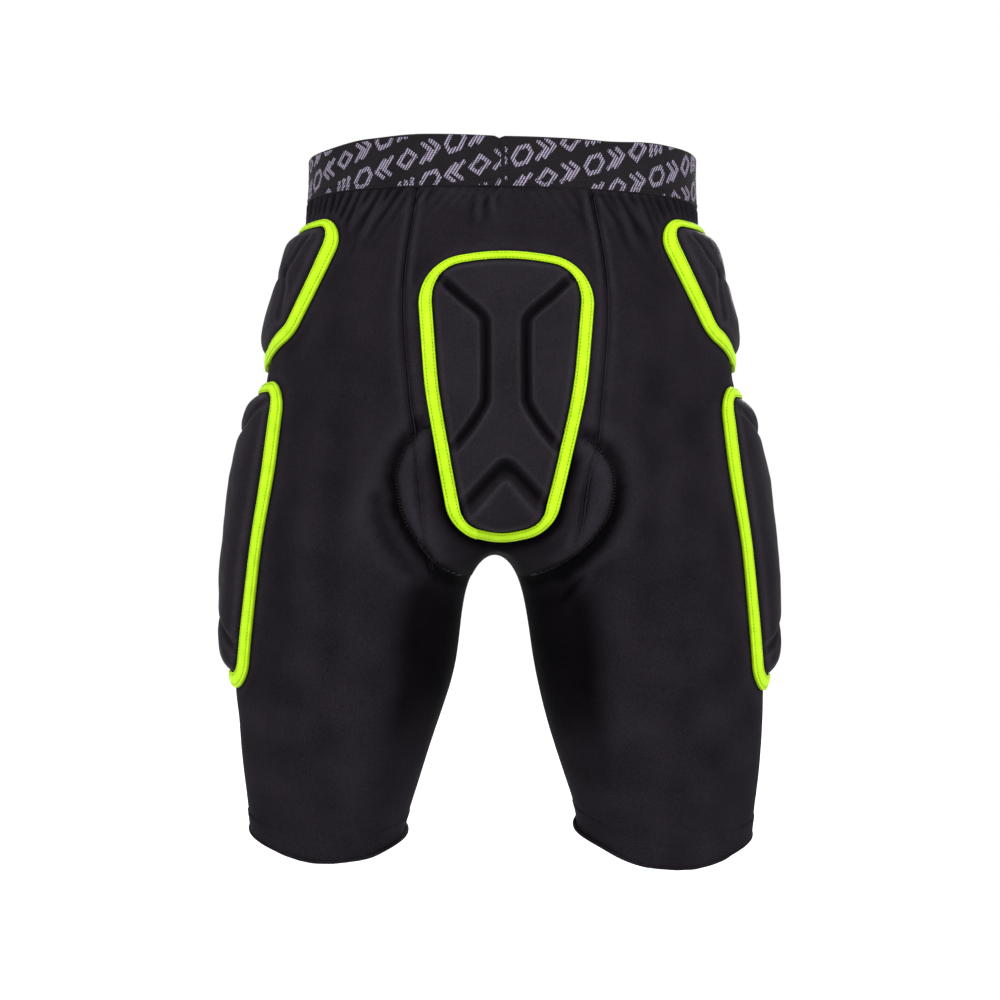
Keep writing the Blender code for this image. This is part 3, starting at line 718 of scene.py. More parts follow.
def neon(name, dark, light, glow):
    """Fluorescent knitted tape: fine ribs along it and a slight glow."""
    look = Look(name, 0.55, 0.03, (0.9, 1.0, 0.6))
    weave = look.math("MULTIPLY", look.ripple(look.v, 0.7 * MM), look.ripple(look.u, 0.8 * MM))
    look.paint(look.blend((weave, 0.35), (look.noise(150.0), 1.0)), dark, light, 0.25, 0.8)
    look.plug(look.shader, Emission_Color=(0.60, 1.0, 0.01, 1), Emission_Strength=glow)
    look.relief(weave, 0.09 * MM)
    return look.material


def foam_material(name):
    look = Look(name, 0.9, 0.1, (0.6, 0.6, 0.6))
    cells = look.add("TexVoronoi", Scale=900.0, Vector=look.place).outputs["Distance"]
    look.paint(cells, (0.03, 0.03, 0.034), (0.09, 0.09, 0.10), 0.0, 0.6)
    look.relief(cells, 0.3 * MM)
    return look.material


KNIT_DARK = (0.0061, 0.0051, 0.0068)
KNIT = knit(
    "stretch_knit_look", KNIT_DARK, (0.0116, 0.0098, 0.0129), 0.60, 0.9 * MM, 0.04 * MM, 0.008, 0.003
)
HEM_KNIT = knit(
    "hem_knit_look", KNIT_DARK, (0.0120, 0.0101, 0.0132), 0.62, 0.9 * MM, 0.05 * MM, 0.008, 0.003
)
COVER_KNIT = knit("pad_cover_look", (0.0055, 0.0047, 0.0062), (0.0110, 0.0092, 0.0122), 0.56, 0.8 * MM,
                  0.04 * MM)
LINING_KNIT = knit("pad_lining_look", (0.020, 0.020, 0.023), (0.045, 0.044, 0.050), 0.8, 1.6 * MM, 0.2 * MM)
CHAMOIS_LOOK = knit("chamois_look", (0.022, 0.022, 0.026), (0.050, 0.050, 0.058), 0.85, 1.4 * MM,
                    0.15 * MM, 0.3)
ELASTIC = elastic("waistband_look", (0.0024, 0.0019, 0.0027), (0.0062, 0.0050, 0.0068))
MOTIF = jacquard("waistband_motif_look", (0.020, 0.017, 0.024), (0.225, 0.195, 0.262), 2.0 * MM)
NEON = neon("binding_look", (0.240, 0.43, 0.006), (0.338, 0.57, 0.013), 0.08)
# the binding's thread is the tape's own neon; its dark green is painted shade of the sunken stitch holes
SHADED_NEON_THREAD = neon("binding_thread_look", (0.085, 0.14, 0.003), (0.15, 0.22, 0.006), 0.0)
FOAM_LOOK = foam_material("foam_look")
THREAD = knit("thread_look", (0.0035, 0.003, 0.004), (0.011, 0.0095, 0.0125), 0.5, 0.4 * MM, 0.05 * MM)


# ---- threads
def threads(name, rows, material, length, gap, radius):
    """Rows of short stitches; each row is (points, outward normals)."""
    rings = sides = 6
    along = np.linspace(0, 1, rings)
    width = np.sqrt(np.clip(1 - (2 * along - 1) ** 4, 0.04, 1))[:, None]
    turn = np.linspace(0, 2 * math.pi, sides, endpoint=False)[None, :, None]
    points = []
    faces = []
    for path, out in rows:
        run = run_length(path)
        for k in range(int((run[-1] - length) / (length + gap))):
            at = (k + 0.5) * (length + gap) + along * length
            spot, up = sample(path, run, at), unit(sample(out, run, at))
            across = unit(np.cross(unit(np.gradient(spot, axis=0)), up))
            spot = spot + up * radius * (width - 0.9)
            ring = across[:, None] * np.cos(turn) * 1.15 + up[:, None] * np.sin(turn) * 0.8
            faces += tube_faces(len(points), rings, sides)
            points.extend((spot[:, None] + ring * radius * width[:, None]).reshape(-1, 3))
    add_piece(name, points, faces, material, np.zeros((len(points), 2)))


# ---- pads
TAIL_CORNERS = ((-0.0348, -0.2402), (-0.0010, -0.2468), (0.0310, -0.2402), (0.0515, -0.1480),
                (0.0590, -0.0672), (0.0, -0.0582), (-0.0568, -0.0672), (-0.0510, -0.1480))
TAIL_RADII = (0.025, 0.060, 0.025, 0.240, 0.031, 0.150, 0.031, 0.240)
HIP_CORNERS = ((-0.0530, -0.1105), (0.0, -0.1325), (0.0530, -0.1105), (0.0868, -0.0328), (-0.0868, -0.0328))
HIP_RADII = (0.022, 0.022, 0.022, 0.016, 0.016)
THIGH_CORNERS = ((-0.0450, -0.3475), (0.0450, -0.3475), (0.0790, -0.1410), (-0.0790, -0.1410))
THIGH_RADII = (0.022, 0.022, 0.018, 0.018)
# how a side pad wraps: outline, axis it's laid round, radius, turn, and how much lower the right one is
HIP_WRAP = (rounded_outline(HIP_CORNERS, HIP_RADII)[0], 0.0650, 0.0750, 0.030, 0.0)
THIGH_WRAP = (rounded_outline(THIGH_CORNERS, THIGH_RADII)[0], 0.0975, 0.0830, 0.0, 3.0 * MM)
TAPE_FOOT = 1.5 * MM
TAPE_THICK = 0.55 * MM
TAPE_CLEAR = 0.12 * MM
TAPE_STEP = 1.6 * MM
TAPE_SEAMS = (0.16, 0.84)
COVER_THICK = 0.7 * MM
LINING_LOW = 0.35 * MM
LINING_HIGH = 0.85 * MM
CHEVRON_TOP = -0.1985
HIP_PARTING = -0.0715
THIGH_PARTING = -0.1790


def round_the_side(side, wrap):
    """Lays a flat outline round an upright axis: distance round it, and height."""
    _, axis, reach, turn, drop = wrap

    def cast(flat):
        angle = flat[:, 0] / reach - side * turn
        way = np.stack([side * np.cos(angle), np.sin(angle), np.zeros(len(flat))], 1)
        starts = way * SIDE_CAST + (side * axis, 0, 0)
        starts[:, 2] = flat[:, 1] - max(side, 0) * drop
        return starts, -way

    return cast


class Pad:
    """One foam pad: lining, foam blocks, cover and binding tape, laid on the form."""

    def __init__(self, name, form, corners, radii, chosen, cast, tape, shoulder, foam, roll, grooves):
        self.name, self.form, self.cast = name, form, cast
        self.shoulder, self.foam, self.roll, self.grooves = shoulder, foam, roll, grooves
        self.path, marks = rounded_outline(corners, radii)
        self.patch = patch_of(self.path, [marks[k] for k in chosen])
        step = np.roll(self.path, -1, axis=0) - self.path
        facing_up = unit(np.stack([step[:, 1], -step[:, 0]], 1) + 1e-9)[:, 1]
        side_tape, top_tape, low_tape = tape
        ends = np.where(facing_up > 0, top_tape, low_tape)
        self.tape = side_tape + (ends - side_tape) * ease(np.abs(facing_up) * 1.6 - 0.3)
        for _ in range(12):
            self.tape = (np.roll(self.tape, 1) + self.tape + np.roll(self.tape, -1)) / 3

    def cover_height(self, flat):
        """The cover's height, the foam's share, the distance past the tape, and 1 off the grooves."""
        gap, near = to_path(flat, self.path, closed=True)
        tape = self.tape[near]
        seat = TAPE_FOOT + (self.shoulder - TAPE_FOOT) * np.clip(gap / tape, 0, 1) ** 0.8
        inner = np.maximum(gap - tape - 0.2 * MM, 0)
        rise = 1 - np.exp(-((inner / self.roll) ** 1.25))
        channel = np.ones(len(flat))
        for path, reach, depth in self.grooves:
            channel *= 1 - depth * bell(to_path(flat, path)[0] / reach)
        crease = 0.5 * MM * bell((gap - tape - 0.5 * MM) / (0.8 * MM))
        return seat + self.foam(flat) * rise * channel - crease, rise * channel, gap - tape, channel

    def lay(self, flat, height):
        base, out = self.form.touch(*self.cast(flat))
        return base + out * (np.zeros(len(flat)) + height)[:, None], out

    def slab(self, part, ending, low, high, material, keep=None, stride=1, shade=None):
        """A closed sheet over the kept nodes of the grid, between two heights."""
        rows, columns = (np.unique(np.append(np.arange(0, n, stride), n - 1)) for n in self.shape)
        quads = grid_quads(np.arange(len(self.flat)).reshape(self.shape)[np.ix_(rows, columns)])
        if keep is not None:
            quads = quads[keep[quads].all(1)]
        a, b, c, d = (self.base[quads[:, k]] for k in range(4))
        if (np.cross(c - a, d - b) * self.out[quads[:, 0]]).sum() < 0:
            quads = quads[:, ::-1]
        top, bottom = (self.base + self.out * height[:, None] for height in (high, low))
        node = self.name + part
        piece = closed_sheet(node + ending, top, bottom, quads, material, self.flat, shade=shade)
        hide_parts(node)

    def build(self, blocks, overlap_at, overlap):
        columns, rows = (int(size / GRID_STEP) for size in np.ptp(self.path, axis=0))
        u, v = np.meshgrid(np.linspace(0, 1, columns + 1), np.linspace(0, 1, rows + 1))
        self.shape = u.shape
        self.flat = self.patch(u, v).reshape(-1, 2)
        self.base, self.out = self.form.touch(*self.cast(self.flat))
        top, share, past, channel = self.cover_height(self.flat)
        # a sewn foam pad is a little uneven: soft swells and a few drawn lines
        uneven = waves(self.base, 0.032, 11 + len(self.name)) * 0.35 * MM
        uneven += waves(self.base * (1, 1, 0.35), 0.014, 23 + len(self.name), 2) * 0.16 * MM
        top += uneven * ease(past / (6 * MM)) * ease(share * 1.2)
        under = top - COVER_THICK
        # painted light on the cover: painted highlight on the groove shoulders and on the roll just inside
        # the tape, painted shade down the grooves and along the tape's inner edge
        shade = bell((channel - 0.86) / 0.10) * ease(past / (3 * MM))
        shade += 0.7 * bell((past - 4 * MM) / (1.6 * MM))
        shade -= 0.85 * (1 - channel) ** 1.8 * ease(past / (1 * MM))
        shade -= 0.7 * bell((past - 0.4 * MM) / (1.3 * MM))
        self.slab("_cover", "_knit", under, top, COVER_KNIT,
                  shade=np.clip(shade, -0.88, 1.0))
        flat_layer = np.ones(len(top))
        self.slab("_lining", "_knit", LINING_LOW * flat_layer, LINING_HIGH * flat_layer, LINING_KNIT,
                  stride=3)
        bottom = (LINING_HIGH + 0.15 * MM) * flat_layer
        ceiling = under - 0.25 * MM
        core = (share > 0.42) & (ceiling - bottom > 0.9 * MM)
        for suffix, inside in blocks:
            self.slab("_foam" + suffix, "_core", bottom, ceiling, FOAM_LOOK,
                      core & inside(*self.flat.T), 2)
        self.binding(np.array(overlap_at), overlap)

    def binding(self, overlap_at, overlap):
        """Folded tape round the edge, ending in a short overlap, with two rows of stitches."""
        run = resample(np.concatenate([self.path, self.path[:1]]), TAPE_STEP)[:-1]
        count = len(run)
        first = int(np.argmin(np.linalg.norm(run - overlap_at, axis=1)))
        order = (first + np.arange(count + int(overlap / TAPE_STEP))) % count
        step = np.roll(run, -1, axis=0) - np.roll(run, 1, axis=0)
        inward = unit(np.stack([-step[:, 1], step[:, 0]], 1))
        if not within((run[:1] + inward[:1] * 2 * MM), self.path)[0]:
            inward = -inward
        tape = self.tape[to_path(run, self.path, closed=True)[1]][:, None]
        lane = np.linspace(0, 1, 13)
        dome = 0.34 * MM * np.sin(math.pi * lane) ** 0.7 + 0.10 * MM * bell((lane - 0.5) / 0.12)
        # painted highlight along the tape's middle and painted shade in its two sewn lanes
        tone = 0.10 * bell((lane - 0.5) / 0.2)
        for seam in TAPE_SEAMS:
            dome -= 0.20 * MM * bell((lane - seam) / 0.05)
            tone -= 0.28 * bell((lane - seam) / 0.06)
        top = []
        for share, lift in zip(lane, dome):
            spots = run + inward * tape * share
            height = np.maximum(self.cover_height(spots)[0], TAPE_FOOT + 0.1 * MM) + TAPE_CLEAR + lift
            top.append(self.lay(spots, height + TAPE_THICK))
        high = TAPE_FOOT + TAPE_CLEAR + TAPE_THICK
        middle = (high + 0.1 * MM) / 2
        edge = []
        for angle in (math.pi * 0.75, math.pi * 0.5, math.pi * 0.25):
            height = middle + (high - middle) * math.cos(angle)
            edge.append(self.lay(run - inward * 0.75 * MM * math.sin(angle), height))
        under = self.lay(run + inward * tape * 0.8, 0.1 * MM)
        thin = [(p - n * TAPE_THICK, n) for p, n in top[:0:-3]]
        fold = self.lay(run + inward * 0.3 * MM, 0.9 * MM)
        ring = [under, *edge, *top, *thin, fold, (under[0] + under[1] * 0.25 * MM, under[1])]
        loops = len(ring)
        points, outs = (np.stack(layer, 1)[order] for layer in zip(*ring))
        place = np.arange(len(order))
        points += outs * 0.75 * MM * ease((place - count + 5) / 5)[:, None, None]
        lanes = np.tile(np.linspace(0, 0.03, loops), len(order))
        uv = np.stack([np.repeat(place * TAPE_STEP, loops), lanes], 1)
        # painted shade on the tape's rolled edge, underside and back
        painted_lights = np.concatenate([np.full(4, -0.45), tone, np.full(loops - 17, -0.5)])
        faces = tube_faces(0, len(order), loops)
        shade = np.tile(painted_lights, len(order))
        name = self.name + "_binding_tape"
        piece = add_piece(name, points.reshape(-1, 3), faces, NEON, uv, shade)
        make_outward(piece)
        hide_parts(self.name + "_binding")
        rows = [[layer[order[:count]] for layer in top[k]] for k in (2, 10)]
        threads(self.name + "_binding_stitches", rows, SHADED_NEON_THREAD,
                1.3 * MM, 1.1 * MM, 0.27 * MM)


def both_sides(*grooves):
    """Each groove, (spots, reach, depth), as a path and its mirror image."""
    found = []
    for spots, reach, depth in grooves:
        path = curve_through(spots, 1.5 * MM)
        found += [(path, reach, depth), (mirrored(path), reach, depth)]
    return found


def tail_wing(x, z):
    """Whether a spot lies in one of the two side blocks of the tailbone pad."""
    inner = np.interp(-z, (0.0765, 0.1035, 0.1150, 0.1500, 0.1590, 0.1855),
                      (0.0430, 0.0145, 0.0128, 0.0130, 0.0142, 0.0325))
    return (np.abs(x) > inner) & (z < -0.0765) & (z > -0.1855)


def make_tail_pad(form):
    """Channels beside the spine that fan out at both ends, and a chevron below."""
    beside = ((0.0430, -0.0765), (0.0285, -0.0905), (0.0145, -0.1035), (0.0128, -0.1150),
              (0.0130, -0.1500), (0.0142, -0.1590), (0.0230, -0.1735), (0.0325, -0.1855))
    chevron = ((0.0, CHEVRON_TOP), (0.0060, -0.2015), (0.0290, -0.2262))
    grooves = both_sides((beside, 3.1 * MM, 0.98), (chevron, 4.6 * MM, 0.98))
    pad = Pad("tail_pad", form, TAIL_CORNERS, TAIL_RADII, (0, 2, 4, 6), from_behind,
              (8.0 * MM, 4.7 * MM, 5.8 * MM), 2.6 * MM, lambda flat: 6.4 * MM, 4.2 * MM, grooves)
    blocks = (
        ("_base", lambda x, z: z < CHEVRON_TOP - 1.06 * np.abs(x)),
        ("_spine", lambda x, z: (z > CHEVRON_TOP - 1.06 * np.abs(x)) & ~tail_wing(x, z)),
        ("_left", lambda x, z: tail_wing(x, z) & (x < 0)),
        ("_right", lambda x, z: tail_wing(x, z) & (x > 0)),
    )
    pad.build(blocks, (-0.030, -0.2440), 10 * MM)


def make_hip_pad(name, side, form):
    """A pad with a faint forked crease on each half."""
    fork = (0.0330, -0.0670)
    grooves = both_sides(
        (((0.0560, -0.0440), (0.0440, -0.0580), fork), 4.0 * MM, 0.40),
        ((fork, (0.0400, -0.0800), (0.0400, -0.0990)), 4.5 * MM, 0.35),
        ((fork, (0.0160, -0.0705), (0.0, HIP_PARTING)), 3.2 * MM, 0.13),
    )

    def foam(flat):
        flatness = ease((0.078 - np.abs(flat[:, 0])) / 0.055)
        return (5.2 * MM + 3.2 * MM * flatness) * (0.92 + 0.08 * ease((flat[:, 1] + 0.115) / 0.03))

    pad = Pad(name, form, HIP_CORNERS, HIP_RADII, (0, 2, 3, 4), round_the_side(side, HIP_WRAP),
              (9.4 * MM, 4.6 * MM, 9.2 * MM), 3.6 * MM, foam, 5.0 * MM, grooves)
    blocks = (
        ("_lower", lambda s, z: z < HIP_PARTING + 0.10 * np.abs(s)),
        ("_upper", lambda s, z: z >= HIP_PARTING + 0.10 * np.abs(s)),
    )
    pad.build(blocks, (-0.012, -0.1300), 12 * MM)


def make_thigh_pad(name, side, form):
    """A long pad with slanting channels that part its three blocks."""
    grooves = both_sides(
        (((0.0, THIGH_PARTING), (0.0300, -0.1690), (0.0640, -0.1520)), 3.6 * MM, 0.52),
        (((0.0, -0.2950), (0.0200, -0.3070), (0.0420, -0.3250)), 3.6 * MM, 0.52),
    )

    def foam(flat):
        across = ease((0.076 - np.abs(flat[:, 0])) / 0.060)
        up = np.interp(-flat[:, 1], (0.150, 0.172, 0.205, 0.270, 0.300, 0.330),
                       (8.5, 9.6, 13.2, 13.5, 11.2, 8.5))
        return up * MM * (0.52 + 0.48 * across)

    pad = Pad(name, form, THIGH_CORNERS, THIGH_RADII, (0, 1, 2, 3), round_the_side(side, THIGH_WRAP),
              (10.2 * MM, 6.6 * MM, 9.6 * MM), 3.9 * MM, foam, 6.0 * MM, grooves)

    def high(s):
        return THIGH_PARTING + 0.42 * np.abs(s)

    def low(s):
        return -0.3010 - 0.66 * np.abs(s)

    blocks = (
        ("_bottom", lambda s, z: z < low(s)),
        ("_middle", lambda s, z: (z >= low(s)) & (z < high(s))),
        ("_top", lambda s, z: z >= high(s)),
    )
    pad.build(blocks, (-0.020, -0.3475), 12 * MM)


# ---- folds in the fabric
SEAT_ARCS = [curve_through(arc) for arc in (
    ((-0.0470, -0.1720), (-0.0555, -0.1760), (-0.0637, -0.1860), (-0.0695, -0.1996), (-0.0695, -0.2136),
     (-0.0657, -0.2300), (-0.0560, -0.2470), (-0.0430, -0.2630), (-0.0275, -0.2710)),
    ((0.0520, -0.1810), (0.0590, -0.1860), (0.0676, -0.1960), (0.0708, -0.2080), (0.0690, -0.2245),
     (0.0630, -0.2370), (0.0490, -0.2530), (0.0340, -0.2640), (0.0200, -0.2710)),
)]
# where each long rear seam runs on into the seat insert
PRINCESS_TAILS = {
    "left_leg": ((-0.0584, -0.1800), (-0.0566, -0.2060), (-0.0530, -0.2380), (-0.0470, -0.2670)),
    "right_leg": ((0.0592, -0.1840), (0.0553, -0.1960), (0.0520, -0.2140), (0.0490, -0.2370),
                  (0.0455, -0.2490)),
}
# drawn folds of the seat, sides and crotch: (x, z) spots, width and height in millimetres
REAR_FOLDS = (
    # outside the left and right edge of the seat insert
    (((-0.0740, -0.2020), (-0.0765, -0.2170), (-0.0700, -0.2400), (-0.0520, -0.2610)), 2.6, 1.7),
    (((-0.0800, -0.2080), (-0.0830, -0.2250), (-0.0750, -0.2480), (-0.0560, -0.2700)), 3.8, -1.9),
    (((0.0745, -0.2280), (0.0650, -0.2480), (0.0500, -0.2640), (0.0360, -0.2740)), 3.4, -2.4),
    (((0.0640, -0.2560), (0.0520, -0.2680), (0.0380, -0.2800)), 2.4, 1.3),
    (((0.0560, -0.2640), (0.0470, -0.2760), (0.0400, -0.2880)), 2.2, -1.7),
    # drawn lines at the foot of the waistband
    (((-0.0150, -0.0190), (-0.0165, -0.0280), (-0.0185, -0.0400)), 2.4, 0.9),
    (((-0.0085, -0.0190), (-0.0080, -0.0270), (-0.0070, -0.0360)), 2.0, 0.6),
    (((0.0520, -0.0190), (0.0535, -0.0290), (0.0560, -0.0420)), 2.4, 0.9),
    (((0.0620, -0.0200), (0.0660, -0.0300), (0.0720, -0.0430)), 2.6, 0.8),
    # slanting drags from the waistband towards the hip pads
    (((-0.0760, -0.0200), (-0.0850, -0.0330), (-0.0960, -0.0520)), 3.2, 1.2),
    (((-0.0880, -0.0210), (-0.0960, -0.0320), (-0.1030, -0.0450)), 2.8, 1.1),
    (((0.0860, -0.0220), (0.0930, -0.0340), (0.1000, -0.0480)), 3.0, 1.1),
    (((0.0740, -0.0220), (0.0800, -0.0360), (0.0860, -0.0540)), 3.2, 0.8),
)


def outside_pads(points):
    """How far each point lies outside the nearest pad's outline; negative under a pad."""
    gap = np.full(len(points), 0.05)
    x, y, z = points.T

    def signed(chosen, across, up, outline):
        flat = np.stack([across, up], 1)
        away = to_path(flat, outline, closed=True)[0] * np.where(within(flat, outline), -1, 1)
        gap[chosen] = np.minimum(gap[chosen], away)

    rear = np.flatnonzero((y < -0.04) & (np.abs(x) < 0.09) & (z < -0.04) & (z > -0.27))
    signed(rear, x[rear], z[rear], rounded_outline(TAIL_CORNERS, TAIL_RADII)[0])
    for side in (1, -1):
        for outline, axis, reach, turn, drop in (HIP_WRAP, THIGH_WRAP):
            across = side * x - axis
            low, high = outline[:, 1].min() - 0.02, outline[:, 1].max() + 0.02
            near = np.flatnonzero((across > -0.02) & (z > low) & (z < high))
            around = (np.arctan2(y[near], across[near]) + side * turn) * reach
            signed(near, around, z[near] + max(side, 0) * drop, outline)
    return gap


def below_band(points):
    """How far each point lies below the waistband's lower edge."""
    return -HALF_BAND - WAISTBAND_TILT * points[:, 0] - points[:, 2]


def gathers(points, rest):
    """Small pleats that hang from the lower edge of the waistband."""
    rng = np.random.default_rng(41)
    below = below_band(points)
    near = np.flatnonzero((below > -1 * MM) & (below < 0.075))
    s, d = np.arctan2(points[near, 0], -points[near, 1]) * WAIST_RADIUS, below[near]
    total = np.zeros(len(near))
    loop = WAIST_RADIUS * 2 * math.pi
    spot = 0.0
    while spot < loop:
        here = spot - loop / 2
        to_side = float(np.clip(1.25 - abs(abs(here) - loop / 4) / 0.130, 0, 1))
        size = (0.25 + 1.25 * to_side) * MM * rng.uniform(0.55, 1.25)
        reach = (9 + 24 * to_side * rng.uniform(0.3, 1.0)) * MM
        lean = rng.uniform(0.0, 0.25) + 0.75 * (1 - to_side)
        lean *= np.sign(here if abs(here) < loop / 4 else -here)
        width = rng.uniform(1.1, 1.8) * MM * (1 + d / 0.04)
        gap = np.abs((s - here - lean * d + loop / 2) % loop - loop / 2)
        pleat = bell(gap / width) - 0.55 * bell((gap - 2.2 * width) / width)
        total += size * pleat * np.exp(-np.maximum(d, 0) / reach)
        spot += rng.uniform(4.6, 7.6) * MM * (1.7 - 0.7 * to_side)
    rest[near] += total * ease((d + 0.5 * MM) / (2.5 * MM))


def long_folds(form, rest):
    """The longer drawn folds, each fading out at its ends."""
    for spots, width, height in REAR_FOLDS:
        path = curve_through(form.rear(spots))
        near = in_box(form.points, path, 4 * width * MM)
        if len(near):
            away, place = to_path(form.points[near], path)
            along = np.clip(place / max(len(path) - 2, 1), 0.02, 0.98)
            rest[near] += height * MM * np.sin(math.pi * along) ** 0.6 * bell(away / (width * MM))


def distance_to_points(points, targets, reach):
    """Distance to the nearest of many points, up to a reach."""
    tree = KDTree(len(targets))
    for k, target in enumerate(targets.tolist()):
        tree.insert(target, k)
    tree.balance()
    found = np.full(len(points), reach)
    for k in in_box(points, targets, reach).tolist():
        found[k] = min(tree.find(points[k])[2], reach)
    return found


def princess_lines(form):
    """The (x, z) lines of the long rear seams, from the waistband to the seat and on into its insert."""
    rows = []
    for panel, tail in PRINCESS_TAILS.items():
        spots = form.border("centre_back", panel, -0.165, False)
        upper = spots[:: max(len(spots) // 9, 1)][:, [0, 2]]
        rows.append(curve_through(np.concatenate([upper, tail]), 1 * MM))
    return rows


def front_lines(form):
    return [form.border("centre_front", panel, -0.225, True) for panel in PRINCESS_TAILS]


def seat_relief(form, rest):
    """The padded seat insert swells inside its stitched edge; also sets its painted shade and painted
    highlight.
    """
    x, y, z = form.points.T
    back = np.flatnonzero((y < 0.0) & (np.abs(x) < 0.095) & (z < -0.155) & (z > -0.300))
    flat = np.stack([x[back], z[back]], 1)
    left, right = SEAT_ARCS
    inside = within(flat, np.concatenate([right, left[::-1]]))
    away = np.minimum(to_path(flat, right)[0], to_path(flat, left)[0])
    facing = ease(-form.normals[back, 1] / 0.30)
    swell = 3.5 * MM * (1 - np.exp(-away / (4.0 * MM))) * (0.55 + 0.45 * bell(away / (22 * MM)))
    swell = np.where(inside, swell, -1.8 * MM * bell((away - 3.5 * MM) / (4.5 * MM)))
    rest[back] += (swell - 1.1 * MM * bell(away / (1.9 * MM))) * facing
    # painted light on the seat: a painted highlight band just inside the stitched edge, painted shade
    # deeper in under the pad, and a painted shadow outside the edge, stronger lower down
    low = 0.25 + 0.75 * ease((-0.195 - z[back]) / 0.03)
    tone = 0.50 * bell((away - 5 * MM) / (3.0 * MM)) - 0.45 * ease((away - 9 * MM) / (9 * MM))
    tone = np.where(inside, tone, -0.6 * low * bell((away - 3 * MM) / (4.5 * MM)))
    form.seat_tone = np.zeros(len(x))
    form.seat_tone[back] = tone * facing * ease((-0.175 - z[back]) / (15 * MM))


def fabric_depth(form):
    """How far the worn fabric stands off the smooth form at each point."""
    points = form.points
    rest = np.zeros(len(points))
    gathers(points, rest)
    long_folds(form, rest)
    rest += waves(points * (1, 1, 0.7), 0.095, 5) * 0.45 * MM + waves(points, 0.030, 6, 2) * 0.04 * MM
    seat_relief(form, rest)
    rear = [form.rear(line) for line in princess_lines(form)]
    for line in rear + front_lines(form):
        near = distance_to_points(points, line, SEAM_REACH)
        rest += 0.12 * MM * bell((near - 4.0 * MM) / (2.5 * MM)) - 0.30 * MM * bell(near / (1.8 * MM))
    # painted shade along each rear seam's line and a painted highlight on the fabric beside it
    for line in rear:
        near = distance_to_points(points, line, SEAM_REACH)
        form.seat_tone += 0.25 * bell((near - 4.5 * MM) / (2.0 * MM)) - 0.55 * bell(near / (1.9 * MM))
    pad_gap = outside_pads(points)
    rest = rest * ease((pad_gap - 0.5 * MM) / (9 * MM)) - 0.5 * MM * (1 - ease(pad_gap / (2 * MM)))
    # nothing folds inside the waistband
    return rest * ease((below_band(points) + 0.3 * MM) / (1.5 * MM))


def spread(faces, values):
    """Averages each point's value with its neighbours'."""
    total = values.copy()
    count = np.ones_like(values)
    for k in range(3):
        for j in ((k + 1) % 3, (k + 2) % 3):
            total += np.bincount(faces[:, k], values[faces[:, j]], len(values))
            count += np.bincount(faces[:, k], minlength=len(values))
    return total / count


def hollow_shade(form):
    """Painted shade where the fabric sinks, where it faces the other leg and where it faces down near the
    crotch; painted highlight on raised ridges.
    """
    mean = form.depth
    for _ in range(7):
        mean = spread(form.tris, mean)
    shade = np.clip((form.depth - mean) / (0.22 * MM), -0.7, 0.40)
    for _ in range(2):
        shade = spread(form.tris, shade)
    x, _, z = form.points.T
    # painted shade on fabric facing the other leg and facing down near the crotch
    inward = -form.normals[:, 0] * np.sign(x) * ease((-0.235 - z) / 0.03)
    under = np.maximum(inward, -0.40 * form.normals[:, 2] * ease((0.10 - np.abs(x)) / 0.03))
    between = 0.75 * ease((under - 0.15) / 0.55) * ease((z + 0.42) / 0.08)
    return np.clip((1 + shade + form.seat_tone) * (1 - between) - 1, -0.85, 0.6)


# ---- panels
def rounding(t):
    """How far a rolled edge has come in: 1 at the edge itself, 0 past the rolled part."""
    return 1 - np.sqrt(np.clip(1 - (1 - np.clip(t, 0, 1)) ** 2, 0, 1))


def make_panel(form, panel, node, uv):
    quads = form.faces_of(panel)
    piece = closed_sheet(node + "_knit", form.worn, form.worn - form.normals * FABRIC, quads, KNIT,
                         uv, form.fans_of(panel), form.shade, form.worn_normals)
    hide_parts(node)


def make_hem(form, side, uv):
    """The folded hem: a little thicker than the leg, rounded over at its lower edge."""
    node = side + "_hem"
    quads = form.faces_of(node)
    fold = 0.8 * MM * rounding((form.points[:, 2] - rim_height(form.points, np.unique(quads))) / (1.6 * MM))
    step = ease(distance_to_points(form.points, form.shared(node, side + "_leg"), 5 * MM) / (1.2 * MM))
    high, low = (0.55 * MM * step - fold)[:, None], (fold - 1.9 * MM)[:, None]
    piece = closed_sheet(node + "_knit", form.worn + form.normals * high, form.worn + form.normals * low,
                         quads, HEM_KNIT, uv, shade=form.shade)
    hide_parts(node)


def rim_height(points, used, slots=96):
    """The height of the lower rim nearest to each point, by direction round the leg."""
    spots = points[used]
    centre = spots.mean(0)
    angle = np.arctan2(points[:, 1] - centre[1], points[:, 0] - centre[0])
    bins = np.linspace(-math.pi, math.pi, slots + 1)
    low = np.full(slots, np.inf)
    np.minimum.at(low, np.clip(np.digitize(angle[used], bins) - 1, 0, slots - 1), spots[:, 2])
    return np.interp(angle, (bins[:-1] + bins[1:]) / 2, low, period=2 * math.pi)


def make_chamois(form, uv):
    """The absorbent seat insert: a soft quilted layer inside the shorts."""
    quads = form.quads[form.seat]
    used, others = np.unique(quads), np.unique(form.quads[~form.seat])
    ribs = np.abs(np.sin(form.points[:, 0] / 0.022 * math.pi)) ** 0.7 * 1.2 * MM
    edge = distance_to_points(form.points, form.points[np.intersect1d(used, others)], SEAM_REACH)
    soft = ease(edge / SEAM_REACH) * np.isin(np.arange(len(edge)), np.setdiff1d(used, others))
    low = (-2.2 * MM - (2.4 * MM + ribs) * soft)[:, None]
    chamois = closed_sheet("seat_chamois_padding", form.worn - form.normals * 1.7 * MM,
                           form.worn + form.normals * low, quads, CHAMOIS_LOOK, uv)
    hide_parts("seat_chamois")


# ---- waistband
def band_lean(x, up):
    """The band's upper edge dips at its left end and rises a little elsewhere."""
    lean = 1.6 * MM * bell((x + 0.045) / 0.04) + 2.2 * MM * ease((x - 0.06) / 0.05)
    return (lean - 3.4 * MM * ease((-x - 0.090) / 0.035)) * ease(up / HALF_BAND)


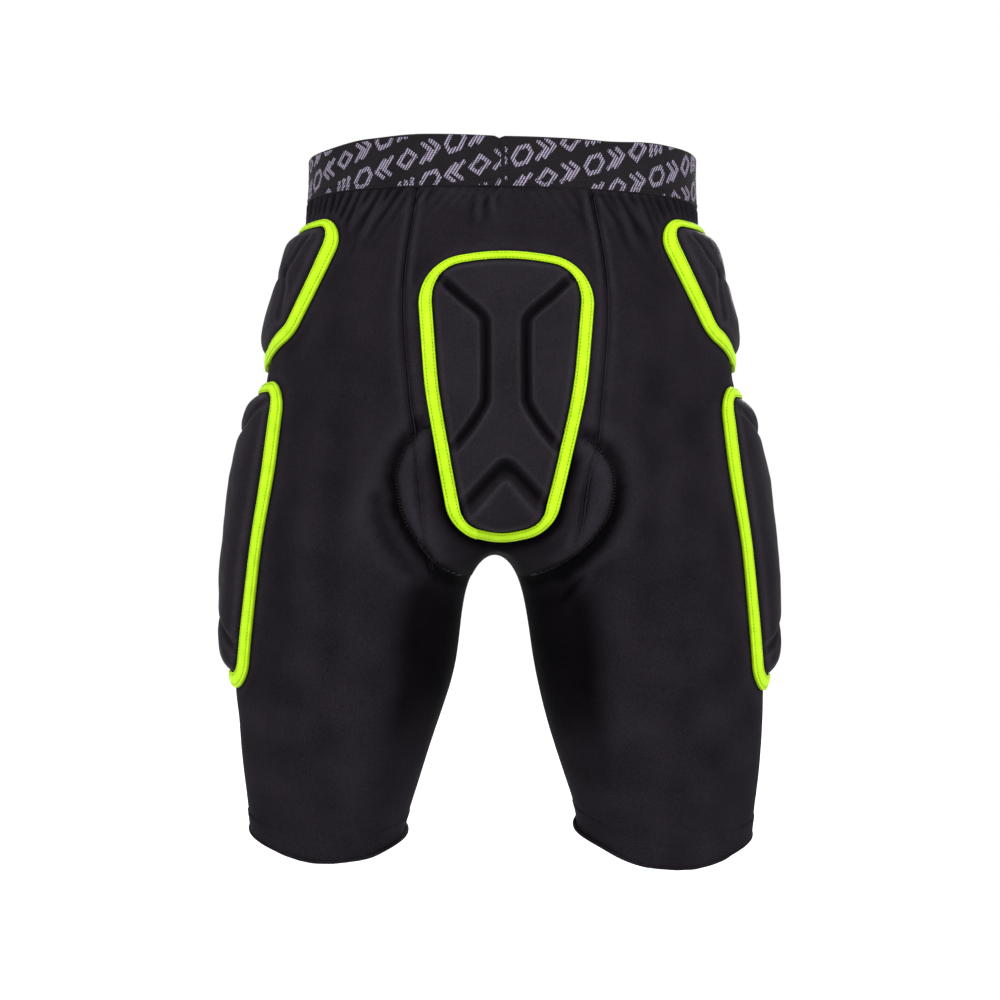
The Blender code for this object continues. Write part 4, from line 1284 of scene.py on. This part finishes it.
def make_waistband(form):
    """The woven elastic: rolled edges, a join at the centre back, stitched on below."""
    x, y, z = form.points.T
    up = z + WAISTBAND_TILT * x
    edge = 0.75 * MM * rounding((HALF_BAND - np.abs(up)) / (1.3 * MM))
    join = 0.8 * MM * bell((x - JOIN_AT) / (0.9 * MM)) * (y < 0)
    swell = waves(form.points, 0.05, 9, 2) * 0.28 * MM
    seam_pull = 0.35 * MM * bell((up + HALF_BAND - 4 * MM) / (1.4 * MM))
    high = 1.0 * MM - edge - join - seam_pull + swell
    low = -1.3 * MM + edge + swell
    points = form.points.copy()
    wave = 0.5 * MM * waves(form.points * (1, 1, 0), 0.07, 17, 2)
    notch = 1.4 * MM * bell((x - JOIN_AT) / (2.0 * MM)) * (y < 0)
    points[:, 2] += (wave - notch) * ease(up / HALF_BAND) + band_lean(x, up)
    uv = np.stack([np.arctan2(x, -y) * 0.128, z], 1)
    top, bottom = (points + form.normals * height[:, None] for height in (high, low))
    piece = closed_sheet("waistband_elastic", top, bottom, form.faces_of("waistband"), ELASTIC,
                         uv)
    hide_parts("waistband")
    return piece


class Band:
    """The waistband's outer face, and a way to lay things on it."""

    def __init__(self, piece):
        faces = [tuple(polygon.vertices) for polygon in piece.data.polygons]
        self.tree = BVHTree.FromPolygons(read_points(piece.data).tolist(), faces)
        self.angles = np.linspace(-math.pi, math.pi, 721)
        ways = [self.way(angle) for angle in self.angles]
        hits = [self.tree.ray_cast(way * BAND_CAST, -way)[0] for way in ways]
        self.run = run_length(np.array(hits))
        self.length = self.run[-1]

    def way(self, angle):
        return Vector((math.sin(angle), -math.cos(angle), 0))

    def lay(self, around, height, lift):
        """Places (distance round from the centre back, height) on the band."""
        placed = np.empty((len(around), 3))
        out = np.empty((len(around), 3))
        turn = np.interp(around + self.length / 2, self.run, self.angles)
        for k, (angle, z) in enumerate(zip(turn, height)):
            way = self.way(angle)
            start = way * BAND_CAST
            start.z = z - WAISTBAND_TILT * way.x * BAND_RADIUS + band_lean(way.x * BAND_RADIUS, z)
            hit = self.tree.ray_cast(start, -way)[0]
            if hit is None:
                hit = self.tree.find_nearest(start - way * (BAND_CAST - BAND_RADIUS))[0]
            placed[k] = hit + way * lift
            out[k] = way
        return placed, out


# open or closed bars of one cell, across 0..1 and up -1..1: nothing that reads as writing
MOTIF_SHAPES = (
    (((0.02, -1.0), (0.46, 0.0), (0.02, 1.0)), ((0.42, -1.0), (0.86, 0.0), (0.42, 1.0))),
    (((0.22, -0.95), (0.72, -0.95), (0.94, 0.0), (0.72, 0.95), (0.22, 0.95), (0.0, 0.0), (0.22, -0.95)),),
    (((0.10, -1.0), (0.10, 1.0)), ((0.42, -1.0), (0.42, 1.0)), ((0.74, -1.0), (0.74, 1.0))),
    (((0.86, -1.0), (0.42, 0.0), (0.86, 1.0)), ((0.46, -1.0), (0.02, 0.0), (0.46, 1.0))),
    (((0.46, -1.0), (0.92, 0.0), (0.46, 1.0), (0.0, 0.0), (0.46, -1.0)),),
)
MOTIF_ORDER = (1, 0, 4, 2, 1, 3, 4, 0)
CELL, CELL_WIDTH, ROW_PITCH, CELL_TALL = 17.0 * MM, 13.8 * MM, 18.6 * MM, 5.2 * MM
BAR_HALF = 1.5 * MM
MOTIF_STEP = 0.55 * MM
MOTIF_EDGE = HALF_BAND - 1.0 * MM


def motif_paths(total):
    """Centre lines of the woven bars: staggered rows that climb round each half of the band."""
    climb = math.radians(18)
    turn = np.array(((math.cos(climb), -math.sin(climb)), (math.sin(climb), math.cos(climb))))
    rows = int(total * math.sin(climb) / 2 / ROW_PITCH) + 3
    count = int(total / CELL) + 4
    paths = []
    for half, shift in ((1, 3.4 * MM), (-1, 9.0 * MM)):
        for row in range(-rows, rows + 1):
            for column in range(-count, count + 1):
                shape = MOTIF_SHAPES[MOTIF_ORDER[(column + 3 * row) % len(MOTIF_ORDER)]]
                origin = np.array((column * CELL + row * 6.2 * MM + shift, row * ROW_PITCH + shift * 0.4))
                across, up = turn @ origin
                if across * half < -CELL_WIDTH or abs(across) > total / 2 + CELL_WIDTH:
                    continue
                if abs(up) > HALF_BAND + 3 * CELL_TALL:
                    continue
                for stroke in shape:
                    bar = np.array(stroke) @ ((CELL_WIDTH, 0), (CELL_TALL * 0.42, CELL_TALL))
                    paths.append((half, (origin + bar) @ turn.T))
    return paths


def make_motif(band):
    """The woven pattern of plain bars, cut off by the band's edges and its join."""
    total = band.length
    paths = motif_paths(total)

    def field(spots):
        """Signed distance of each spot to the nearest bar's outline; negative inside a bar."""
        best = np.full(len(spots), 5 * MM)
        for half, path in paths:
            near = in_box(spots, path, 3 * BAR_HALF)
            near = near[spots[near, 0] * half > 0]
            if len(near):
                best[near] = np.minimum(best[near], to_path(spots[near], path)[0] - BAR_HALF)
        across, up = np.abs(spots).T
        best = np.maximum(best, up - MOTIF_EDGE - 0.1 * MM)
        best = np.maximum(best, 1.3 * MM - np.abs(spots[:, 0] - JOIN_AT))
        return np.maximum(best, across - total / 2 + 1 * MM)

    columns, rows = int(total / MOTIF_STEP), int(2 * MOTIF_EDGE / MOTIF_STEP) + 2
    up, across = np.meshgrid(np.linspace(-MOTIF_EDGE, MOTIF_EDGE, rows),
                             np.linspace(-total / 2, total / 2, columns), indexing="ij")
    spots = np.stack([across.ravel(), up.ravel()], 1)
    quads = grid_quads(np.arange(rows * columns).reshape(rows, columns))
    quads = quads[(field(spots)[quads] < 0.2 * MM).all(1)]
    used = np.unique(quads)
    hold = spots[used]
    nudge = 0.05 * MM
    for _ in range(2):
        value = field(hold)
        slope = np.stack([field(hold + (nudge, 0)) - value, field(hold + (0, nudge)) - value], 1) / nudge
        rim = value > -0.45 * MOTIF_STEP
        hold[rim] -= (unit(slope) * value[:, None])[rim] * 0.8
    spots[used] = hold
    placed, outward = np.zeros((2, len(spots), 3))
    placed[used], outward[used] = band.lay(*hold.T, 0.13 * MM)
    make_outward(closed_sheet("waistband_motif", placed, placed - outward * 0.35 * MM, quads, MOTIF,
                              spots))


def make_band_stitches(band):
    """Two rows of cover stitch at the foot of the band, and the upright join at the back."""
    around = np.arange(-band.length / 2 + 1 * MM, band.length / 2 - 1 * MM, 1.2 * MM)
    rise = np.linspace(-HALF_BAND + 1.5 * MM, HALF_BAND - 2.5 * MM, 30)
    heights = (2.2 * MM, 4.6 * MM)
    rows = [band.lay(around, np.full(len(around), -HALF_BAND + up), 0.05 * MM) for up in heights]
    rows += [band.lay(np.full(30, JOIN_AT + off), rise, 0.05 * MM) for off in (-2.6 * MM, 2.6 * MM)]
    threads("waistband_stitches", rows, THREAD, 2.3 * MM, 0.9 * MM, 0.26 * MM)


# ---- body stitching
# each seam's section: offset across, height and tone; the plain seam's tone is painted shade in its groove
# and painted highlight on its raised side, the bound seam's tone darkens it, least along its crown
PLAIN_SEAM = ((-1.5, -0.25, 0.0), (-1.1, 0.10, 0.05), (-0.75, 0.20, 0.15), (-0.5, -0.05, -0.95),
              (0.0, -0.22, -1.0), (0.5, -0.05, -0.95), (0.75, 0.20, 0.75), (1.1, 0.10, 0.45),
              (1.5, -0.25, 0.0))
BOUND_SEAM = ((-1.5, -0.25, -0.9), (-1.2, 0.20, -0.9), (-0.6, 0.42, -0.7), (0.0, 0.48, -0.35),
              (0.6, 0.42, -0.7), (1.2, 0.20, -0.9), (1.5, -0.25, -0.9))


def lay_strip(name, rows, section, material, bead=None):
    """Narrow raised strips along paths, such as the ridge of a sewn seam."""
    points, faces, uv, shade = [], [], [], []
    across, height, painted_lights = np.array(section).T * ((MM,), (MM,), (1,))
    flat_across = np.append(across, across[[-1, 0]])
    loops = len(flat_across)
    for path, out in rows:
        side = unit(np.cross(out, unit(np.gradient(path, axis=0))))
        run = run_length(path)
        beat = np.sin(2 * math.pi * run / bead) if bead else np.zeros(len(run))
        ends = 0.1 + 0.9 * ease(np.minimum(run, run[-1] - run) / (3 * MM))
        ring = [path + side * a + out * (np.where(h > 0, h * (1 + 0.35 * beat), h) * ends)[:, None]
                for a, h in zip(across, height)]
        ring += [path + side * a - out * 0.5 * MM for a in across[[-1, 0]]]
        faces += tube_faces(len(points), len(path), loops)
        points.extend(np.stack(ring, 1).reshape(-1, 3))
        uv.extend(np.stack([np.tile(flat_across, len(path)), np.repeat(run, loops)], 1))
        # painted light: each lane's tone, with a painted highlight on each bead's crest and painted shade
        # between beads
        shade.extend((np.append(painted_lights, (0.0, 0.0)) + 0.9 * beat[:, None]).ravel())
    make_outward(add_piece(name, points, faces, material, uv, shade))


def hem_rows(form):
    """The cover stitch round each hem, on the line where the fold is sewn down."""
    rows = []
    for side in ("left", "right"):
        shared = form.shared(side + "_hem", side + "_leg")
        x, y, _ = (shared - shared.mean(0)).T
        order = np.argsort(np.arctan2(y, x))
        ring = resample(shared[np.append(order, order[0])], 1.2 * MM)
        for drop in (1.0 * MM, 3.6 * MM):
            path, out = form.on_fabric(ring - (0, 0, drop))
            rows.append((path + out * 0.52 * MM, out))
    return rows


def make_body_stitches(form):
    rear = [form.on_fabric(line) for line in princess_lines(form)]
    front = [curve_through(line[:: max(len(line) // 12, 1)], 1 * MM) for line in front_lines(form)]
    arcs = [form.on_fabric(resample(arc, 0.5 * MM)) for arc in SEAT_ARCS]
    lay_strip("back_seams", rear, PLAIN_SEAM, KNIT)
    lay_strip("front_seams", [form.on_fabric(line) for line in front], PLAIN_SEAM, KNIT)
    lay_strip("seat_insert_seam", arcs, BOUND_SEAM, THREAD, bead=2.2 * MM)
    threads("hem_stitches", hem_rows(form), THREAD, 2.2 * MM, 0.9 * MM, 0.26 * MM)


# ---- stage and lighting
def make_stage():
    low, size = CAD_BOX[0][2] - 0.16, 6.0
    mesh = bpy.data.meshes.new("studio_floor")
    corners = [(-size, -size, low), (size, -size, low), (size, size, low), (-size, size, low)]
    mesh.from_pydata(corners, [], [(0, 1, 2, 3)])
    material = bpy.data.materials.new("studio_floor_look")
    material.use_nodes = True
    sockets = material.node_tree.nodes["Principled BSDF"].inputs
    sockets["Base Color"].default_value = (0.3, 0.3, 0.3, 1)
    sockets["Roughness"].default_value = 0.9
    sockets["Emission Color"].default_value = (1, 1, 1, 1)
    sockets["Emission Strength"].default_value = 0.86
    mesh.materials.append(material)
    link("studio_floor", mesh)
    world = bpy.data.worlds.new("studio")
    bpy.context.scene.world = world
    world.use_nodes = True
    tree = world.node_tree
    split = tree.nodes.new("ShaderNodeSeparateXYZ")
    tree.links.new(tree.nodes.new("ShaderNodeTexCoord").outputs["Generated"], split.inputs[0])
    shade = ramp(tree, split.outputs["Z"], (1, 1, 1), (0.30, 0.30, 0.31), 0.30, 0.80)
    tree.links.new(shade, tree.nodes["Background"].inputs["Color"])
    tree.nodes["Background"].inputs["Strength"].default_value = 1.0


def aim(item, place, target):
    item.location = place
    item.rotation_euler = (Vector(target) - Vector(place)).to_track_quat("-Z", "Y").to_euler()


def make_light(name, place, size, power):
    lamp = bpy.data.lights.new(name, "AREA")
    lamp.shape = "RECTANGLE"
    lamp.size, lamp.size_y = size
    lamp.energy = power
    aim(link(name, lamp), place, (0, 0, -0.2))


def make_camera():
    middle, away, turn = Vector((0, 0, -0.22)), 1.4, math.radians(-1.75)
    camera = bpy.data.cameras.new("camera")
    camera.lens = 72
    camera.sensor_width = 36
    item = link("camera", camera)
    aim(item, middle + Vector((math.sin(turn), -math.cos(turn), 0)) * away, middle)
    bpy.context.scene.camera = item


# ---- build
make_camera()
make_stage()
make_light("key_right", (1.7, -1.9, 1.1), (0.9, 1.2), 72)
make_light("key_left", (-1.8, -1.8, 0.9), (0.9, 1.2), 56)
make_light("top", (0.0, 0.3, 2.2), (1.2, 1.2), 30)
make_light("front", (0.5, 2.4, 0.9), (1.2, 1.4), 60)
bpy.context.scene.view_settings.view_transform = "Standard"

garment = Form()
garment.dress(fabric_depth(garment))
garment.shade = hollow_shade(garment)
right, forward, height = garment.points.T
panel_uv = np.stack([np.arctan2(right, -forward) * PANEL_RADIUS, height], 1)
for panel_name in ("centre_back", "centre_front", "crotch_gusset", "left_leg", "right_leg"):
    node_name = panel_name if panel_name == "crotch_gusset" else panel_name + "_panel"
    make_panel(garment, panel_name, node_name, panel_uv)
for side_name in ("left", "right"):
    make_hem(garment, side_name, panel_uv)
make_chamois(garment, panel_uv)
waistband = Band(make_waistband(garment))
make_motif(waistband)
make_band_stitches(waistband)
make_body_stitches(garment)
make_tail_pad(garment)
for side_name, side_sign in (("left", -1), ("right", 1)):
    make_hip_pad(side_name + "_hip_pad", side_sign, garment)
    make_thigh_pad(side_name + "_thigh_pad", side_sign, garment)
